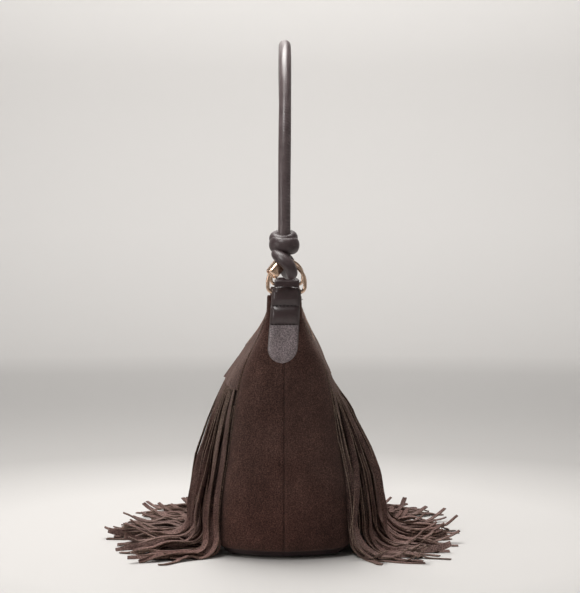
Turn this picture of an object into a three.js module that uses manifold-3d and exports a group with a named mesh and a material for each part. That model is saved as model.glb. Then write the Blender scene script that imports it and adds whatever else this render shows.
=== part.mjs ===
// A fringed suede hobo bag with a knotted rolled handle.
// Units are millimetres. +Z is up, X runs along the bag's length, -Y is the front and the floor is z = 0.

import * as THREE from 'three';
import { mergeVertices } from 'three/addons/utils/BufferGeometryUtils.js';
import Module from 'manifold-3d';

const wasm = await Module();
wasm.setup();

// ---------------------------------------------------------------------------------------------
// Driving dimensions
// ---------------------------------------------------------------------------------------------

const GAP = 0.3;                 // air between pieces that touch

const SUEDE = 2.0;               // body panel with its backing
const FACING = 1.0;              // band inside the mouth
const LINING = 0.8;
const POCKET = 0.8;
const STRAP = 1.6;               // one ply of the leather tab

const MOUTH_LOW = 228;           // top edge at the middle of the bag
const MOUTH_PEAK = 277;          // top edge at the two ends
const MOUTH_CURVE = 2.2;         // how late the edge starts to climb
const HEM = 8.9;                 // lower edge of the suede
const TURN_IN_RADIUS = 32;       // the suede rolls in to meet the base
const TURN_IN_HEIGHT = 3;
// Rows of the body, as shares of the height from hem to mouth. The facing covers the last three.
const LEVELS = [0, 0.03, 0.08, 0.16, 0.28, 0.42, 0.56, 0.68, 0.78, 0.88, 0.94, 1];
const FACING_ROWS = 3;

// The bag's level sections, from the floor up. half: half length; end: half width of the end face;
// mid: half depth in the middle; flat: half width of the end's flat; corner: length of the round corner.
const SECTIONS = [
  { z: 0, half: 158, end: 71, mid: 82, flat: 6, corner: 30 },
  { z: 30, half: 160, end: 70, mid: 82, flat: 6, corner: 30 },
  { z: 64, half: 161, end: 66, mid: 78, flat: 6, corner: 30 },
  { z: 104, half: 159, end: 60, mid: 72, flat: 8, corner: 28 },
  { z: 154, half: 155, end: 54, mid: 64, flat: 12, corner: 24 },
  { z: 194, half: 152, end: 45, mid: 53, flat: 14.5, corner: 18 },
  { z: 212, half: 152, end: 37.5, mid: 44, flat: 14.5, corner: 14 },
  { z: 228, half: 152, end: 29, mid: 35, flat: 14.5, corner: 11 },
  { z: 242, half: 152, end: 23, mid: 29, flat: 14.5, corner: 8 },
  { z: 258, half: 152, end: 18.6, mid: 24, flat: 14.5, corner: 5.5 },
  { z: 300, half: 152, end: 18, mid: 21, flat: 14.5, corner: 4.2 },
];

const BASE_FLOOR = 2.2;          // thickness of the leather base
// The base's section, from its underside out to the rim and back over its upper side. pulledIn is measured
// from the bag's widest outline, or from the rim's own outline where it is marked as fromRim.
const BASE_SECTION = [
  { z: 0, pulledIn: 33 },
  { z: 1.2, pulledIn: 27 },
  { z: 4, pulledIn: 7, fromRim: true },
  { z: HEM - GAP, pulledIn: 0, fromRim: true },
  { z: HEM - GAP, pulledIn: 1.8, fromRim: true },
  { z: 4.6, pulledIn: 9, fromRim: true },
  { z: BASE_FLOOR, pulledIn: 31 },
];
const BASE_RIM_IN = 0.6;         // how far the base's rim stays inside the suede's lower edge
const LINING_FLOOR_IN = 34;      // how far the lining's floor is pulled in
const BOARD = { thickness: 2.0, length: 244, depth: 76, corner: 22 };

const WIRE = 1.9;                // radius of the ring's wire
const RING = { halfWidth: 19.4, cornerRadius: 6, straight: 10 };
const BAR_HEIGHT = 280;          // the ring's bar, at the top of the tab
const TAB = { width: 29, bottom: 207, innerBottom: 240, bottomRadius: 14 };

const CORD = 6.2;                // radius of the rolled strap
const HANDLE_TOP = 559;
const KNOT = { height: 332, radius: 15.5, rise: 11.5 };
const CAP = { radius: 7.0, length: 12, bore: 5.7, boreDepth: 7, rim: 1.0, recess: 1.2 };

const FRINGE = { halfWidth: 133, thickness: 3, fan: 46, bend: 11 };
// Each face carries three fringe sheets. top: header height in the middle; climb: how much higher the
// header is at its ends; stand: distance from the suede at the header and at the floor;
// rest: height of its strips on the floor; reach: how far out the strips lie.
const TIERS = [
  { name: 'lower', top: 152, climb: 14, standTop: 2.0, standFoot: 12, rest: 0, reach: 194 },
  { name: 'middle', top: 186, climb: 24, standTop: 2.0, standFoot: 19, rest: 3.4, reach: 200 },
  { name: 'upper', top: 218, climb: 34, standTop: 2.0, standFoot: 26, rest: 6.8, reach: 205 },
];

const SNAP = { radius: 7, base: 1.4, stud: 3.0, studHeight: 1.6, socket: 3.5, height: 2.6 };
const SNAP_HEIGHT = 214;
const SLIP_POCKET = { halfWidth: 66, bottom: 74, top: 160 };

// How finely each form is divided.
const CORNER_STEPS = 3;
const SIDE_STEPS = 12;
const RING_STEPS = 34;
const WIRE_SIDES = 8;
const ARCH_STEPS = 44;
const LOOP_STEPS = 26;
const SHEET_COLUMNS = 10;
const SHEET_WALL_STEPS = 8;
const SHEET_BEND_STEPS = 3;

// ---------------------------------------------------------------------------------------------
// Materials
// ---------------------------------------------------------------------------------------------

function finish(color, roughness, metalness = 0) {
  return () => new THREE.MeshStandardMaterial({ color, roughness, metalness });
}

const suede = finish(0x3f2c27, 0.95);
const fringeSuede = finish(0x4f3d37, 0.95);
const leather = finish(0x43373a, 0.45);
const gold = finish(0xd9b98c, 0.22, 1);
const cloth = finish(0x8a7866, 0.9);
const board = finish(0x55504a, 0.85);
const steel = finish(0xb8b0a2, 0.3, 1);

// ---------------------------------------------------------------------------------------------
// Closed meshes from rows of points
// ---------------------------------------------------------------------------------------------

function closedGeometry(points, triangles) {
  let volume = 0;
  const cross = new THREE.Vector3();
  for (const [a, b, c] of triangles) {
    volume += points[a].dot(cross.crossVectors(points[b], points[c]));
  }
  const outward = volume > 0 ? triangles : triangles.map(([a, b, c]) => [a, c, b]);
  const geometry = new THREE.BufferGeometry().setFromPoints(points);
  geometry.setIndex(outward.flat());
  geometry.computeVertexNormals();
  return geometry;
}

function quad(a, b, c, d) {
  return [[a, b, c], [a, c, d]];
}

// A sheet with thickness: two grids of points, one for each face, closed along the four edges.
function slab(faceRows, backRows) {
  const rows = faceRows.length;
  const columns = faceRows[0].length;
  const back = rows * columns;
  const at = (row, column) => row * columns + column;
  const triangles = [];
  for (let r = 0; r < rows - 1; r += 1) {
    for (let c = 0; c < columns - 1; c += 1) {
      const [a, b, d, e] = [at(r, c), at(r, c + 1), at(r + 1, c + 1), at(r + 1, c)];
      triangles.push(...quad(a, b, d, e), ...quad(back + a, back + e, back + d, back + b));
    }
  }
  const edge = [];
  for (let c = 0; c < columns - 1; c += 1) edge.push(at(0, c));
  for (let r = 0; r < rows - 1; r += 1) edge.push(at(r, columns - 1));
  for (let c = columns - 1; c > 0; c -= 1) edge.push(at(rows - 1, c));
  for (let r = rows - 1; r > 0; r -= 1) edge.push(at(r, 0));
  edge.forEach((from, index) => {
    const to = edge[(index + 1) % edge.length];
    triangles.push(...quad(to, from, back + from, back + to));
  });
  return closedGeometry([...faceRows.flat(), ...backRows.flat()], triangles);
}

// Closed loops of points joined one to the next. The last joins the first when it is a ring of loops,
// and otherwise the first and the last are closed by a flat fan. The second half of each loop is split on
// the other diagonal, so that a loop's two halves are mirror images.
function loft(loops, isRing) {
  const count = loops[0].length;
  const points = loops.flat();
  const triangles = [];
  const last = isRing ? loops.length : loops.length - 1;
  for (let i = 0; i < last; i += 1) {
    const here = i * count;
    const next = ((i + 1) % loops.length) * count;
    for (let j = 0; j < count; j += 1) {
      const k = (j + 1) % count;
      const corners = [here + j, here + k, next + k, next + j];
      if (j >= count / 2) corners.push(corners.shift());
      triangles.push(...quad(...corners));
    }
  }
  if (!isRing) {
    const end = (loops.length - 1) * count;
    for (const [start, turned] of [[0, true], [end, false]]) {
      const centre = points.length;
      const middle = new THREE.Vector3();
      for (let j = 0; j < count; j += 1) middle.addScaledVector(points[start + j], 1 / count);
      points.push(middle);
      for (let j = 0; j < count; j += 1) {
        const k = (j + 1) % count;
        const [first, second] = turned ? [k, j] : [j, k];
        triangles.push([start + first, start + second, centre]);
      }
    }
  }
  return closedGeometry(points, triangles);
}

function mirrored(geometry, axis) {
  const copy = geometry.clone();
  copy.scale(axis === 'x' ? -1 : 1, axis === 'y' ? -1 : 1, 1);
  const index = copy.index ? Array.from(copy.index.array) : null;
  if (!index) throw new Error('mirrored needs an indexed geometry');
  for (let i = 0; i < index.length; i += 3) {
    [index[i + 1], index[i + 2]] = [index[i + 2], index[i + 1]];
  }
  copy.setIndex(index);
  copy.computeVertexNormals();
  return copy;
}

function toSolid(geometry) {
  const bare = geometry.clone();
  bare.deleteAttribute('normal');
  bare.deleteAttribute('uv');
  const merged = mergeVertices(bare, 1e-4);
  return new wasm.Manifold(new wasm.Mesh({
    numProp: 3,
    vertProperties: new Float32Array(merged.attributes.position.array),
    triVerts: new Uint32Array(merged.index.array),
  }));
}

function fromSolid(solid) {
  const mesh = solid.getMesh();
  const geometry = new THREE.BufferGeometry();
  geometry.setAttribute('position', new THREE.BufferAttribute(new Float32Array(mesh.vertProperties), 3));
  geometry.setIndex(Array.from(mesh.triVerts));
  geometry.computeVertexNormals();
  return geometry;
}

// ---------------------------------------------------------------------------------------------
// The bag's form
// ---------------------------------------------------------------------------------------------

// One field of SECTIONS at any height, as a smooth curve through the sections.
function field(name, z) {
  const last = SECTIONS.length - 1;
  let i = SECTIONS.findIndex((section) => section.z > z) - 1;
  if (i < 0) i = z < SECTIONS[0].z ? 0 : last - 1;
  const slope = (k) => {
    const low = SECTIONS[Math.max(k - 1, 0)];
    const high = SECTIONS[Math.min(k + 1, last)];
    return (high[name] - low[name]) / (high.z - low.z);
  };
  const span = SECTIONS[i + 1].z - SECTIONS[i].z;
  const t = THREE.MathUtils.clamp((z - SECTIONS[i].z) / span, 0, 1);
  const [t2, t3] = [t * t, t * t * t];
  return (2 * t3 - 3 * t2 + 1) * SECTIONS[i][name] + (t3 - 2 * t2 + t) * span * slope(i)
    + (3 * t2 - 2 * t3) * SECTIONS[i + 1][name] + (t3 - t2) * span * slope(i + 1);
}

// How far the lower edge of the suede rolls in under the bag.
function turnIn(z) {
  const drop = TURN_IN_RADIUS + TURN_IN_HEIGHT - z;
  return drop > 0 ? TURN_IN_RADIUS - Math.sqrt(Math.max(TURN_IN_RADIUS ** 2 - drop ** 2, 0)) : 0;
}

// The section at a height, a distance inside the suede's outer surface.
function sectionAt(z, inside) {
  const inset = inside + turnIn(z);
  const end = field('end', z) - inset;
  return {
    half: field('half', z) - inset,
    end,
    mid: field('mid', z) - inset,
    flat: Math.min(field('flat', z), end - 0.2),
    corner: Math.max(field('corner', z) - inside, 0.4),
  };
}

function sideDepth(section, along) {
  return section.end + (section.mid - section.end) * 0.5 * (1 + Math.cos(Math.PI * along));
}

// Stations along the back half of the bag, from the seam at the +X end to the seam at the -X end.
// Each gives its place on a section, and how far along the side it is: 0 in the middle, 1 at the ends.
function stationsAround() {
  const end = [0, 1].map((k) => ({
    along: 1,
    place: (s) => [s.half, s.flat * k],
  }));
  const corner = [];
  for (let k = 1; k < CORNER_STEPS; k += 1) {
    const turn = (k / CORNER_STEPS) * (Math.PI / 2);
    corner.push({
      along: 1,
      place: (s) => [
        s.half - s.corner * (1 - Math.cos(turn)),
        s.flat + (s.end - s.flat) * Math.sin(turn),
      ],
    });
  }
  const side = [];
  for (let k = 0; k <= SIDE_STEPS; k += 1) {
    const along = 1 - (2 * k) / SIDE_STEPS;
    side.push({
      along: Math.abs(along),
      place: (s) => [(s.half - s.corner) * along, sideDepth(s, along)],
    });
  }
  const near = [...end, ...corner];
  const far = near.map(({ along, place }) => ({
    along,
    place: (s) => {
      const [x, y] = place(s);
      return [-x, y];
    },
  })).reverse();
  return [...near, ...side, ...far];
}

const HALF_STATIONS = stationsAround();
// All the way round: the back half, then the front half without its two seam stations.
const FULL_STATIONS = [
  ...HALF_STATIONS,
  ...HALF_STATIONS.slice(1, -1).reverse().map(({ along, place }) => ({
    along,
    place: (s) => {
      const [x, y] = place(s);
      return [x, -y];
    },
  })),
];

function mouthHeight(along) {
  return MOUTH_LOW + (MOUTH_PEAK - MOUTH_LOW) * along ** MOUTH_CURVE;
}

function rowOf(stations, inside, heightOf) {
  return stations.map((station) => {
    const z = heightOf(station.along);
    const [x, y] = station.place(sectionAt(z, inside));
    return new THREE.Vector3(x, y, z);
  });
}

function fractions(count) {
  return Array.from({ length: count + 1 }, (_, i) => i / count);
}

// ---------------------------------------------------------------------------------------------
// Body, base and inside
// ---------------------------------------------------------------------------------------------

function levelHeight(level) {
  return (along) => HEM + (mouthHeight(along) - HEM) * level;
}

function bodyPanel() {
  const rows = (inside) => LEVELS.map((level) => rowOf(HALF_STATIONS, inside, levelHeight(level)));
  const panel = slab(rows(0), rows(SUEDE));
  panel.translate(0, GAP / 2, 0);
  return panel;
}

function mouthFacing() {
  const [outer, inner] = [SUEDE + GAP, SUEDE + GAP + FACING];
  const rows = (inside) => LEVELS.slice(-FACING_ROWS).map((level) => (
    rowOf(FULL_STATIONS, inside, levelHeight(level))));
  return loft([...rows(outer), ...rows(inner).reverse()], true);
}

function liningBag() {
  const [outer, inner] = [SUEDE + GAP, SUEDE + GAP + LINING];
  const floor = BASE_FLOOR + BOARD.thickness + 2 * GAP;
  const levels = LEVELS.slice(1, 1 - FACING_ROWS);
  const wall = (inside) => levels.map((level, i) => {
    const drop = i === levels.length - 1 ? GAP : 0;
    return rowOf(FULL_STATIONS, inside, (along) => levelHeight(level)(along) - drop);
  });
  const outside = [flatLoop(floor, LINING_FLOOR_IN), ...wall(outer)];
  const insideWall = [flatLoop(floor + LINING, LINING_FLOOR_IN + 1), ...wall(inner)];
  return loft([...outside, ...insideWall.reverse()], false);
}

// A level loop at one height, pulled in from the bag's widest outline.
function flatLoop(z, pulledIn) {
  const section = sectionAt(TURN_IN_RADIUS + TURN_IN_HEIGHT, 0);
  const pulled = {
    half: section.half - pulledIn,
    end: section.end - pulledIn,
    mid: section.mid - pulledIn,
    flat: section.flat,
    corner: section.corner,
  };
  return FULL_STATIONS.map((station) => {
    const [x, y] = station.place(pulled);
    return new THREE.Vector3(x, y, z);
  });
}

function leatherBase() {
  const rimIn = turnIn(HEM - GAP) + BASE_RIM_IN;
  return loft(BASE_SECTION.map(({ z, pulledIn, fromRim }) => (
    flatLoop(z, fromRim ? rimIn + pulledIn : pulledIn))), false);
}

function roundedRectangle(length, depth, radius) {
  const [x, y] = [length / 2 - radius, depth / 2 - radius];
  const shape = new THREE.Shape();
  shape.absarc(x, y, radius, 0, Math.PI / 2);
  shape.absarc(-x, y, radius, Math.PI / 2, Math.PI);
  shape.absarc(-x, -y, radius, Math.PI, 1.5 * Math.PI);
  shape.absarc(x, -y, radius, 1.5 * Math.PI, 2 * Math.PI);
  return shape;
}

function stiffenerBoard() {
  const outline = roundedRectangle(BOARD.length, BOARD.depth, BOARD.corner);
  const plate = new THREE.ExtrudeGeometry(outline, {
    depth: BOARD.thickness, bevelEnabled: false, curveSegments: 5,
  });
  plate.translate(0, 0, BASE_FLOOR + GAP);
  return plate;
}

// The lining's inner surface on the back wall, as used by the pocket that is sewn to it.
function innerWallPoint(x, z, inside) {
  const section = sectionAt(z, inside);
  return new THREE.Vector3(x, sideDepth(section, x / (section.half - section.corner)), z);
}

function slipPocket() {
  const inside = SUEDE + LINING + 2 * GAP + 0.5;
  const rows = (depth) => fractions(5).map((up) => fractions(8).map((across) => {
    const x = SLIP_POCKET.halfWidth * (1 - 2 * across);
    return innerWallPoint(x, THREE.MathUtils.lerp(SLIP_POCKET.bottom, SLIP_POCKET.top, up), depth);
  }));
  return slab(rows(inside), rows(inside + POCKET));
}

// ---------------------------------------------------------------------------------------------
// Magnetic snap
// ---------------------------------------------------------------------------------------------

function snapStud() {
  const { radius, base, stud, studHeight } = SNAP;
  const profile = [[0, 0], [radius, 0], [radius, base], [stud, base], [stud, base + studHeight],
    [0, base + studHeight]];
  return new THREE.LatheGeometry(profile.map(([r, h]) => new THREE.Vector2(r, h)), 16);
}

function snapSocket() {
  const { radius, base, socket, height } = SNAP;
  const profile = [[0, 0], [radius, 0], [radius, height], [socket, height], [socket, base * 0.6],
    [0, base * 0.6]];
  return new THREE.LatheGeometry(profile.map(([r, h]) => new THREE.Vector2(r, h)), 16);
}

// Sets a snap half, whose axis is local +Y, on the inner face of the back facing.
function placeSnap(geometry) {
  const inside = SUEDE + FACING + 2 * GAP;
  const here = innerWallPoint(0, SNAP_HEIGHT, inside);
  const above = innerWallPoint(0, SNAP_HEIGHT + SNAP.radius, inside);
  const below = innerWallPoint(0, SNAP_HEIGHT - SNAP.radius, inside);
  const up = above.clone().sub(below).normalize();
  const normal = new THREE.Vector3(0, -up.z, up.y);
  geometry.applyQuaternion(new THREE.Quaternion().setFromUnitVectors(new THREE.Vector3(0, 1, 0), normal));
  const clearance = 0.5;
  geometry.translate(here.x, here.y + normal.y * clearance, here.z + normal.z * clearance);
  return geometry;
}

// ---------------------------------------------------------------------------------------------
// Tabs and rings at the +X end
// ---------------------------------------------------------------------------------------------

const END_PLANE = SECTIONS[SECTIONS.length - 1].half;
const FOLD_INNER = WIRE + GAP;
const FOLD_OUTER = FOLD_INNER + STRAP;
const BAR_X = END_PLANE + 0.4 - FOLD_INNER;

function tab() {
  const profile = new THREE.Shape();
  profile.moveTo(BAR_X + FOLD_INNER, TAB.bottom);
  profile.lineTo(BAR_X + FOLD_OUTER, TAB.bottom);
  profile.absarc(BAR_X, BAR_HEIGHT, FOLD_OUTER, 0, Math.PI, false);
  profile.lineTo(BAR_X - FOLD_OUTER, TAB.innerBottom);
  profile.lineTo(BAR_X - FOLD_INNER, TAB.innerBottom);
  profile.absarc(BAR_X, BAR_HEIGHT, FOLD_INNER, Math.PI, 0, true);
  const strap = new THREE.ExtrudeGeometry(profile, {
    depth: TAB.width, bevelEnabled: false, curveSegments: 10,
  });
  strap.rotateX(Math.PI / 2);
  strap.translate(0, TAB.width / 2, 0);

  const half = TAB.width / 2;
  const outline = new THREE.Shape();
  outline.absarc(0, TAB.bottom + TAB.bottomRadius, half, Math.PI, 2 * Math.PI, false);
  outline.lineTo(half, BAR_HEIGHT + 2 * FOLD_OUTER);
  outline.lineTo(-half, BAR_HEIGHT + 2 * FOLD_OUTER);
  const cutter = new THREE.ExtrudeGeometry(outline, { depth: 40, bevelEnabled: false, curveSegments: 12 });
  cutter.rotateX(Math.PI / 2);
  cutter.rotateZ(Math.PI / 2);
  cutter.translate(BAR_X - 20, 0, 0);
  return fromSolid(toSolid(strap).intersect(toSolid(cutter)));
}

// The D-ring's centre line, anticlockwise in the YZ plane from the middle of the bar.
function ringPath() {
  const { halfWidth, cornerRadius, straight } = RING;
  const path = new THREE.Path();
  path.moveTo(0, 0);
  path.lineTo(halfWidth - cornerRadius, 0);
  path.absarc(halfWidth - cornerRadius, cornerRadius, cornerRadius, -Math.PI / 2, 0, false);
  path.lineTo(halfWidth, straight);
  path.absarc(0, straight, halfWidth, 0, Math.PI, false);
  path.lineTo(-halfWidth, cornerRadius);
  path.absarc(-halfWidth + cornerRadius, cornerRadius, cornerRadius, Math.PI, 1.5 * Math.PI, false);
  path.closePath();
  return path;
}

function ring() {
  const path = ringPath();
  const loops = [];
  for (let i = 0; i < RING_STEPS; i += 1) {
    const centre = path.getPointAt(i / RING_STEPS);
    const tangent = path.getTangentAt(i / RING_STEPS);
    const loop = [];
    for (let j = 0; j < WIRE_SIDES; j += 1) {
      const turn = ((j + 0.5) / WIRE_SIDES) * 2 * Math.PI;
      const outward = WIRE * Math.cos(turn);
      loop.push(new THREE.Vector3(
        BAR_X + WIRE * Math.sin(turn),
        centre.x + tangent.y * outward,
        BAR_HEIGHT + centre.y - tangent.x * outward,
      ));
    }
    loops.push(loop);
  }
  return loft(loops, true);
}

// ---------------------------------------------------------------------------------------------
// Handle: one rolled strap with a knot round each ring
// ---------------------------------------------------------------------------------------------

const RING_TOP = BAR_HEIGHT + RING.straight + RING.halfWidth;

class HandleArch extends THREE.Curve {
  getPoint(t, target = new THREE.Vector3()) {
    const turn = Math.PI * t;
    const power = 2 / 2.3;
    const rise = HANDLE_TOP - CORD - KNOT.height;
    const x = BAR_X * Math.sign(Math.cos(turn)) * Math.abs(Math.cos(turn)) ** power;
    return target.set(x, 0, KNOT.height + rise * Math.abs(Math.sin(turn)) ** power);
  }
}

function cordAlong(curve, steps, radius = CORD) {
  const section = new THREE.Shape();
  section.absarc(0, 0, radius, 0, 2 * Math.PI);
  return new THREE.ExtrudeGeometry(section, {
    steps, extrudePath: curve, curveSegments: 6, bevelEnabled: false,
  });
}

// The strap's turn under the ring's arc: down on the outside, up on the inside.
function ringLoop() {
  const reach = CORD + WIRE + 1.0;
  const low = RING_TOP - reach;
  return new THREE.CatmullRomCurve3([
    new THREE.Vector3(BAR_X + 7, -8, KNOT.height - 3),
    new THREE.Vector3(BAR_X + 17, -6, RING_TOP + 11),
    new THREE.Vector3(BAR_X + 21.5, 1, RING_TOP + 3),
    new THREE.Vector3(BAR_X + 20, 5, RING_TOP - 4),
    new THREE.Vector3(BAR_X + 13, 5.5, low - 0.6),
    new THREE.Vector3(BAR_X + 4, 4, low - 0.8),
    new THREE.Vector3(BAR_X - 4, 2, low + 0.4),
    new THREE.Vector3(BAR_X - reach * 0.93, 0.5, RING_TOP - 3.4),
    new THREE.Vector3(BAR_X - reach - 0.6, 0, RING_TOP + 7),
    new THREE.Vector3(BAR_X - 3, 0, KNOT.height - 3),
  ]);
}

const TAIL_DIRECTION = new THREE.Vector3(0.35, -0.6, -0.72).normalize();
const TAIL_END = new THREE.Vector3(BAR_X + 17, -13.4, 299);

function tailPoint(back) {
  return TAIL_END.clone().addScaledVector(TAIL_DIRECTION, -back);
}

function endCap() {
  const { radius, length, bore, boreDepth, rim, recess } = CAP;
  const profile = [[0, recess], [radius - rim, recess], [radius - rim, 0], [radius, 0], [radius, length],
    [bore, length], [bore, length - boreDepth], [0, length - boreDepth]];
  const cap = new THREE.LatheGeometry(profile.map(([r, h]) => new THREE.Vector2(r, h)), 18);
  const inward = TAIL_DIRECTION.clone().negate();
  cap.applyQuaternion(new THREE.Quaternion().setFromUnitVectors(new THREE.Vector3(0, 1, 0), inward));
  cap.translate(TAIL_END.x, TAIL_END.y, TAIL_END.z);
  return mergeVertices(stripped(cap), 1e-4);
}

function stripped(geometry) {
  geometry.deleteAttribute('normal');
  geometry.deleteAttribute('uv');
  return geometry;
}

function knotAt() {
  const bead = new THREE.SphereGeometry(1, 14, 9);
  bead.scale(KNOT.radius, KNOT.radius, KNOT.rise);
  bead.translate(BAR_X, 0, KNOT.height);
  const { length, boreDepth, bore } = CAP;
  const tail = new THREE.LineCurve3(tailPoint(length + GAP), tailPoint(length + 14));
  const spigot = new THREE.LineCurve3(tailPoint(length - boreDepth + GAP), tailPoint(length + 4));
  return toSolid(bead)
    .add(toSolid(cordAlong(ringLoop(), LOOP_STEPS)))
    .add(toSolid(cordAlong(tail, 1)))
    .add(toSolid(cordAlong(spigot, 1, bore - GAP)));
}

function handle() {
  const knot = knotAt();
  const arch = toSolid(cordAlong(new HandleArch(), ARCH_STEPS));
  return fromSolid(arch.add(knot).add(knot.mirror([1, 0, 0])));
}

// ---------------------------------------------------------------------------------------------
// Fringe sheets on the back face
// ---------------------------------------------------------------------------------------------

// One sheet: a header sewn to the suede, strips hanging from it, and their ends lying on the floor.
function fringeSheet(tier) {
  const { thickness, bend } = FRINGE;
  const foot = tier.rest + bend + thickness;
  const rows = (layer) => {
    const path = [];
    for (const f of fractions(SHEET_WALL_STEPS)) {
      path.push((across) => wallPoint(tier, across, f, foot, layer));
    }
    for (let k = 1; k <= SHEET_BEND_STEPS; k += 1) {
      const turn = (k / SHEET_BEND_STEPS) * (Math.PI / 2);
      const radius = bend + thickness - layer;
      path.push((across) => {
        const start = wallPoint(tier, across, 1, foot, 0);
        const out = bend + thickness - radius * Math.cos(turn);
        return new THREE.Vector3(start.x, start.y + out, foot - radius * Math.sin(turn));
      });
    }
    for (const f of [0.5, 1]) {
      path.push((across) => {
        const start = wallPoint(tier, across, 1, foot, 0);
        const bent = start.y + bend + thickness;
        return new THREE.Vector3(
          start.x + Math.sign(across) * Math.abs(across) ** 2 * FRINGE.fan * f,
          THREE.MathUtils.lerp(bent, tier.reach - 8 * Math.abs(across), f),
          tier.rest + layer,
        );
      });
    }
    return path.map((point) => fractions(SHEET_COLUMNS).map((f) => point(1 - 2 * f)));
  };
  return slab(rows(thickness), rows(0));
}

// A point on the hanging part: across is -1 to 1 along the bag, down is 0 at the header's top edge.
function wallPoint(tier, across, down, foot, layer) {
  const x = FRINGE.halfWidth * across;
  const top = tier.top + tier.climb * across * across;
  const z = THREE.MathUtils.lerp(top, foot, down);
  const full = sectionAt(Math.max(z, TURN_IN_RADIUS + TURN_IN_HEIGHT), 0);
  const along = THREE.MathUtils.clamp(x / (full.half - full.corner), -1, 1);
  const eased = THREE.MathUtils.smoothstep(down, 0, 0.45);
  const stand = THREE.MathUtils.lerp(tier.standTop, tier.standFoot, eased);
  return new THREE.Vector3(x, sideDepth(full, along) + GAP + stand + layer, z);
}

// ---------------------------------------------------------------------------------------------
// The scene graph
// ---------------------------------------------------------------------------------------------

const bag = new THREE.Group();

function addPiece(name, geometry, material) {
  const mesh = new THREE.Mesh(geometry, material());
  mesh.name = name;
  bag.add(mesh);
}

const backPanel = bodyPanel();
addPiece('back_panel', backPanel, suede);
addPiece('front_panel', mirrored(backPanel, 'y'), suede);
addPiece('leather_base', leatherBase(), leather);
addPiece('base_stiffener', stiffenerBoard(), board);
addPiece('mouth_facing', mouthFacing(), suede);
addPiece('lining', liningBag(), cloth);
addPiece('slip_pocket', slipPocket(), cloth);

const socketHalf = mergeVertices(stripped(placeSnap(snapSocket())), 1e-4);
const studHalf = mergeVertices(stripped(placeSnap(snapStud())), 1e-4);
addPiece('snap_socket', socketHalf, steel);
addPiece('snap_stud', mirrored(studHalf, 'y'), steel);

const nearTab = tab();
const nearRing = ring();
const nearCap = endCap();
addPiece('near_tab', nearTab, leather);
addPiece('far_tab', mirrored(nearTab, 'x'), leather);
addPiece('near_ring', nearRing, gold);
addPiece('far_ring', mirrored(nearRing, 'x'), gold);
addPiece('near_end_cap', nearCap, gold);
addPiece('far_end_cap', mirrored(nearCap, 'x'), gold);
addPiece('handle', handle(), leather);

for (const tier of TIERS) {
  const sheet = fringeSheet(tier);
  addPiece(`back_fringe_${tier.name}`, sheet, fringeSuede);
  addPiece(`front_fringe_${tier.name}`, mirrored(sheet, 'y'), fringeSuede);
}

export default bag;
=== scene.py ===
"""A fringed suede hobo bag with a knotted, rolled leather handle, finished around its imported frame.

Lengths are metres. X runs along the bag, -Y is the front face and the floor is z = 0.
"""

from __future__ import annotations

import logging
import math
from dataclasses import dataclass, field
from enum import Enum
from typing import Callable, ClassVar, Sequence

import bpy
import numpy as np
from bpy.types import Material, Node, NodeSocket, Object
from mathutils import Matrix, Vector


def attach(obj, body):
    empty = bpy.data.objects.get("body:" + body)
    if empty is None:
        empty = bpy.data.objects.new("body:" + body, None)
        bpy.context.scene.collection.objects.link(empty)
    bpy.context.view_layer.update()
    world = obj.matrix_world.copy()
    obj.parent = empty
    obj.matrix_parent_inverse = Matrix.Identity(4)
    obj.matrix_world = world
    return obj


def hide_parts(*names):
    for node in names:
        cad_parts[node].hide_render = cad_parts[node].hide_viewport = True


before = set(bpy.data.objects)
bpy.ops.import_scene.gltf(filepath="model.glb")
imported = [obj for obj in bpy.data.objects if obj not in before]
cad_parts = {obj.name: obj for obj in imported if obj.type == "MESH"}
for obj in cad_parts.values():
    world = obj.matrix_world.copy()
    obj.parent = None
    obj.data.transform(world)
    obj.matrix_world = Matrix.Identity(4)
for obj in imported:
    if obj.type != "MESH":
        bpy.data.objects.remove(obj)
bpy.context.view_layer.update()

Array = np.ndarray
Pair = tuple[Array, Array]

LOG = logging.getLogger("bag")
MM = 0.001
UP = np.array([0.0, 0.0, 1.0])
ALONG = np.array([1.0, 0.0, 0.0])
ACROSS = np.array([0.0, 1.0, 0.0])
STEPS_BETWEEN_STOPS = 40
TIP_LENGTH = 0.25
TO_A_POINT = 0.001
TIP_ROUNDING = ((0.8, 0.8), (0.4, 1.0), (TO_A_POINT, 1.05))
RING_BAR_X = 150.2 * MM
RING_BAR_HEIGHT = 280 * MM
FAR_TAB_RAISED = 2.6 * MM


class Face(Enum):
    """A face of the bag, as the sign of its outward Y."""

    FRONT = -1
    BACK = 1


class End(Enum):
    """An end of the bag, as the sign of its outward X."""

    NEAR = 1
    FAR = -1


# Camera, lights and floor.


@dataclass(frozen=True)
class SoftBox:
    """One square soft light; warmth goes from 0, neutral white, to 1, a little warm."""

    name: str
    at: tuple[float, float, float]
    facing: tuple[float, float, float]
    size: float
    power: float
    warmth: float

    def hang(self) -> Object:
        """Makes the light and turns it to face its point.

        Returns:
            The light object.
        """
        data = bpy.data.lights.new(self.name, "AREA")
        data.energy = self.power
        data.shape = "SQUARE"
        data.size = self.size
        data.color = (1.0, 1.0 - 0.05 * self.warmth, 1.0 - 0.11 * self.warmth)
        lamp = bpy.data.objects.new(self.name, data)
        lamp.location = self.at
        lamp.rotation_mode = "QUATERNION"
        lamp.rotation_quaternion = (Vector(self.facing) - Vector(self.at)).to_track_quat("-Z", "Y")
        bpy.context.scene.collection.objects.link(lamp)
        return lamp


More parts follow.
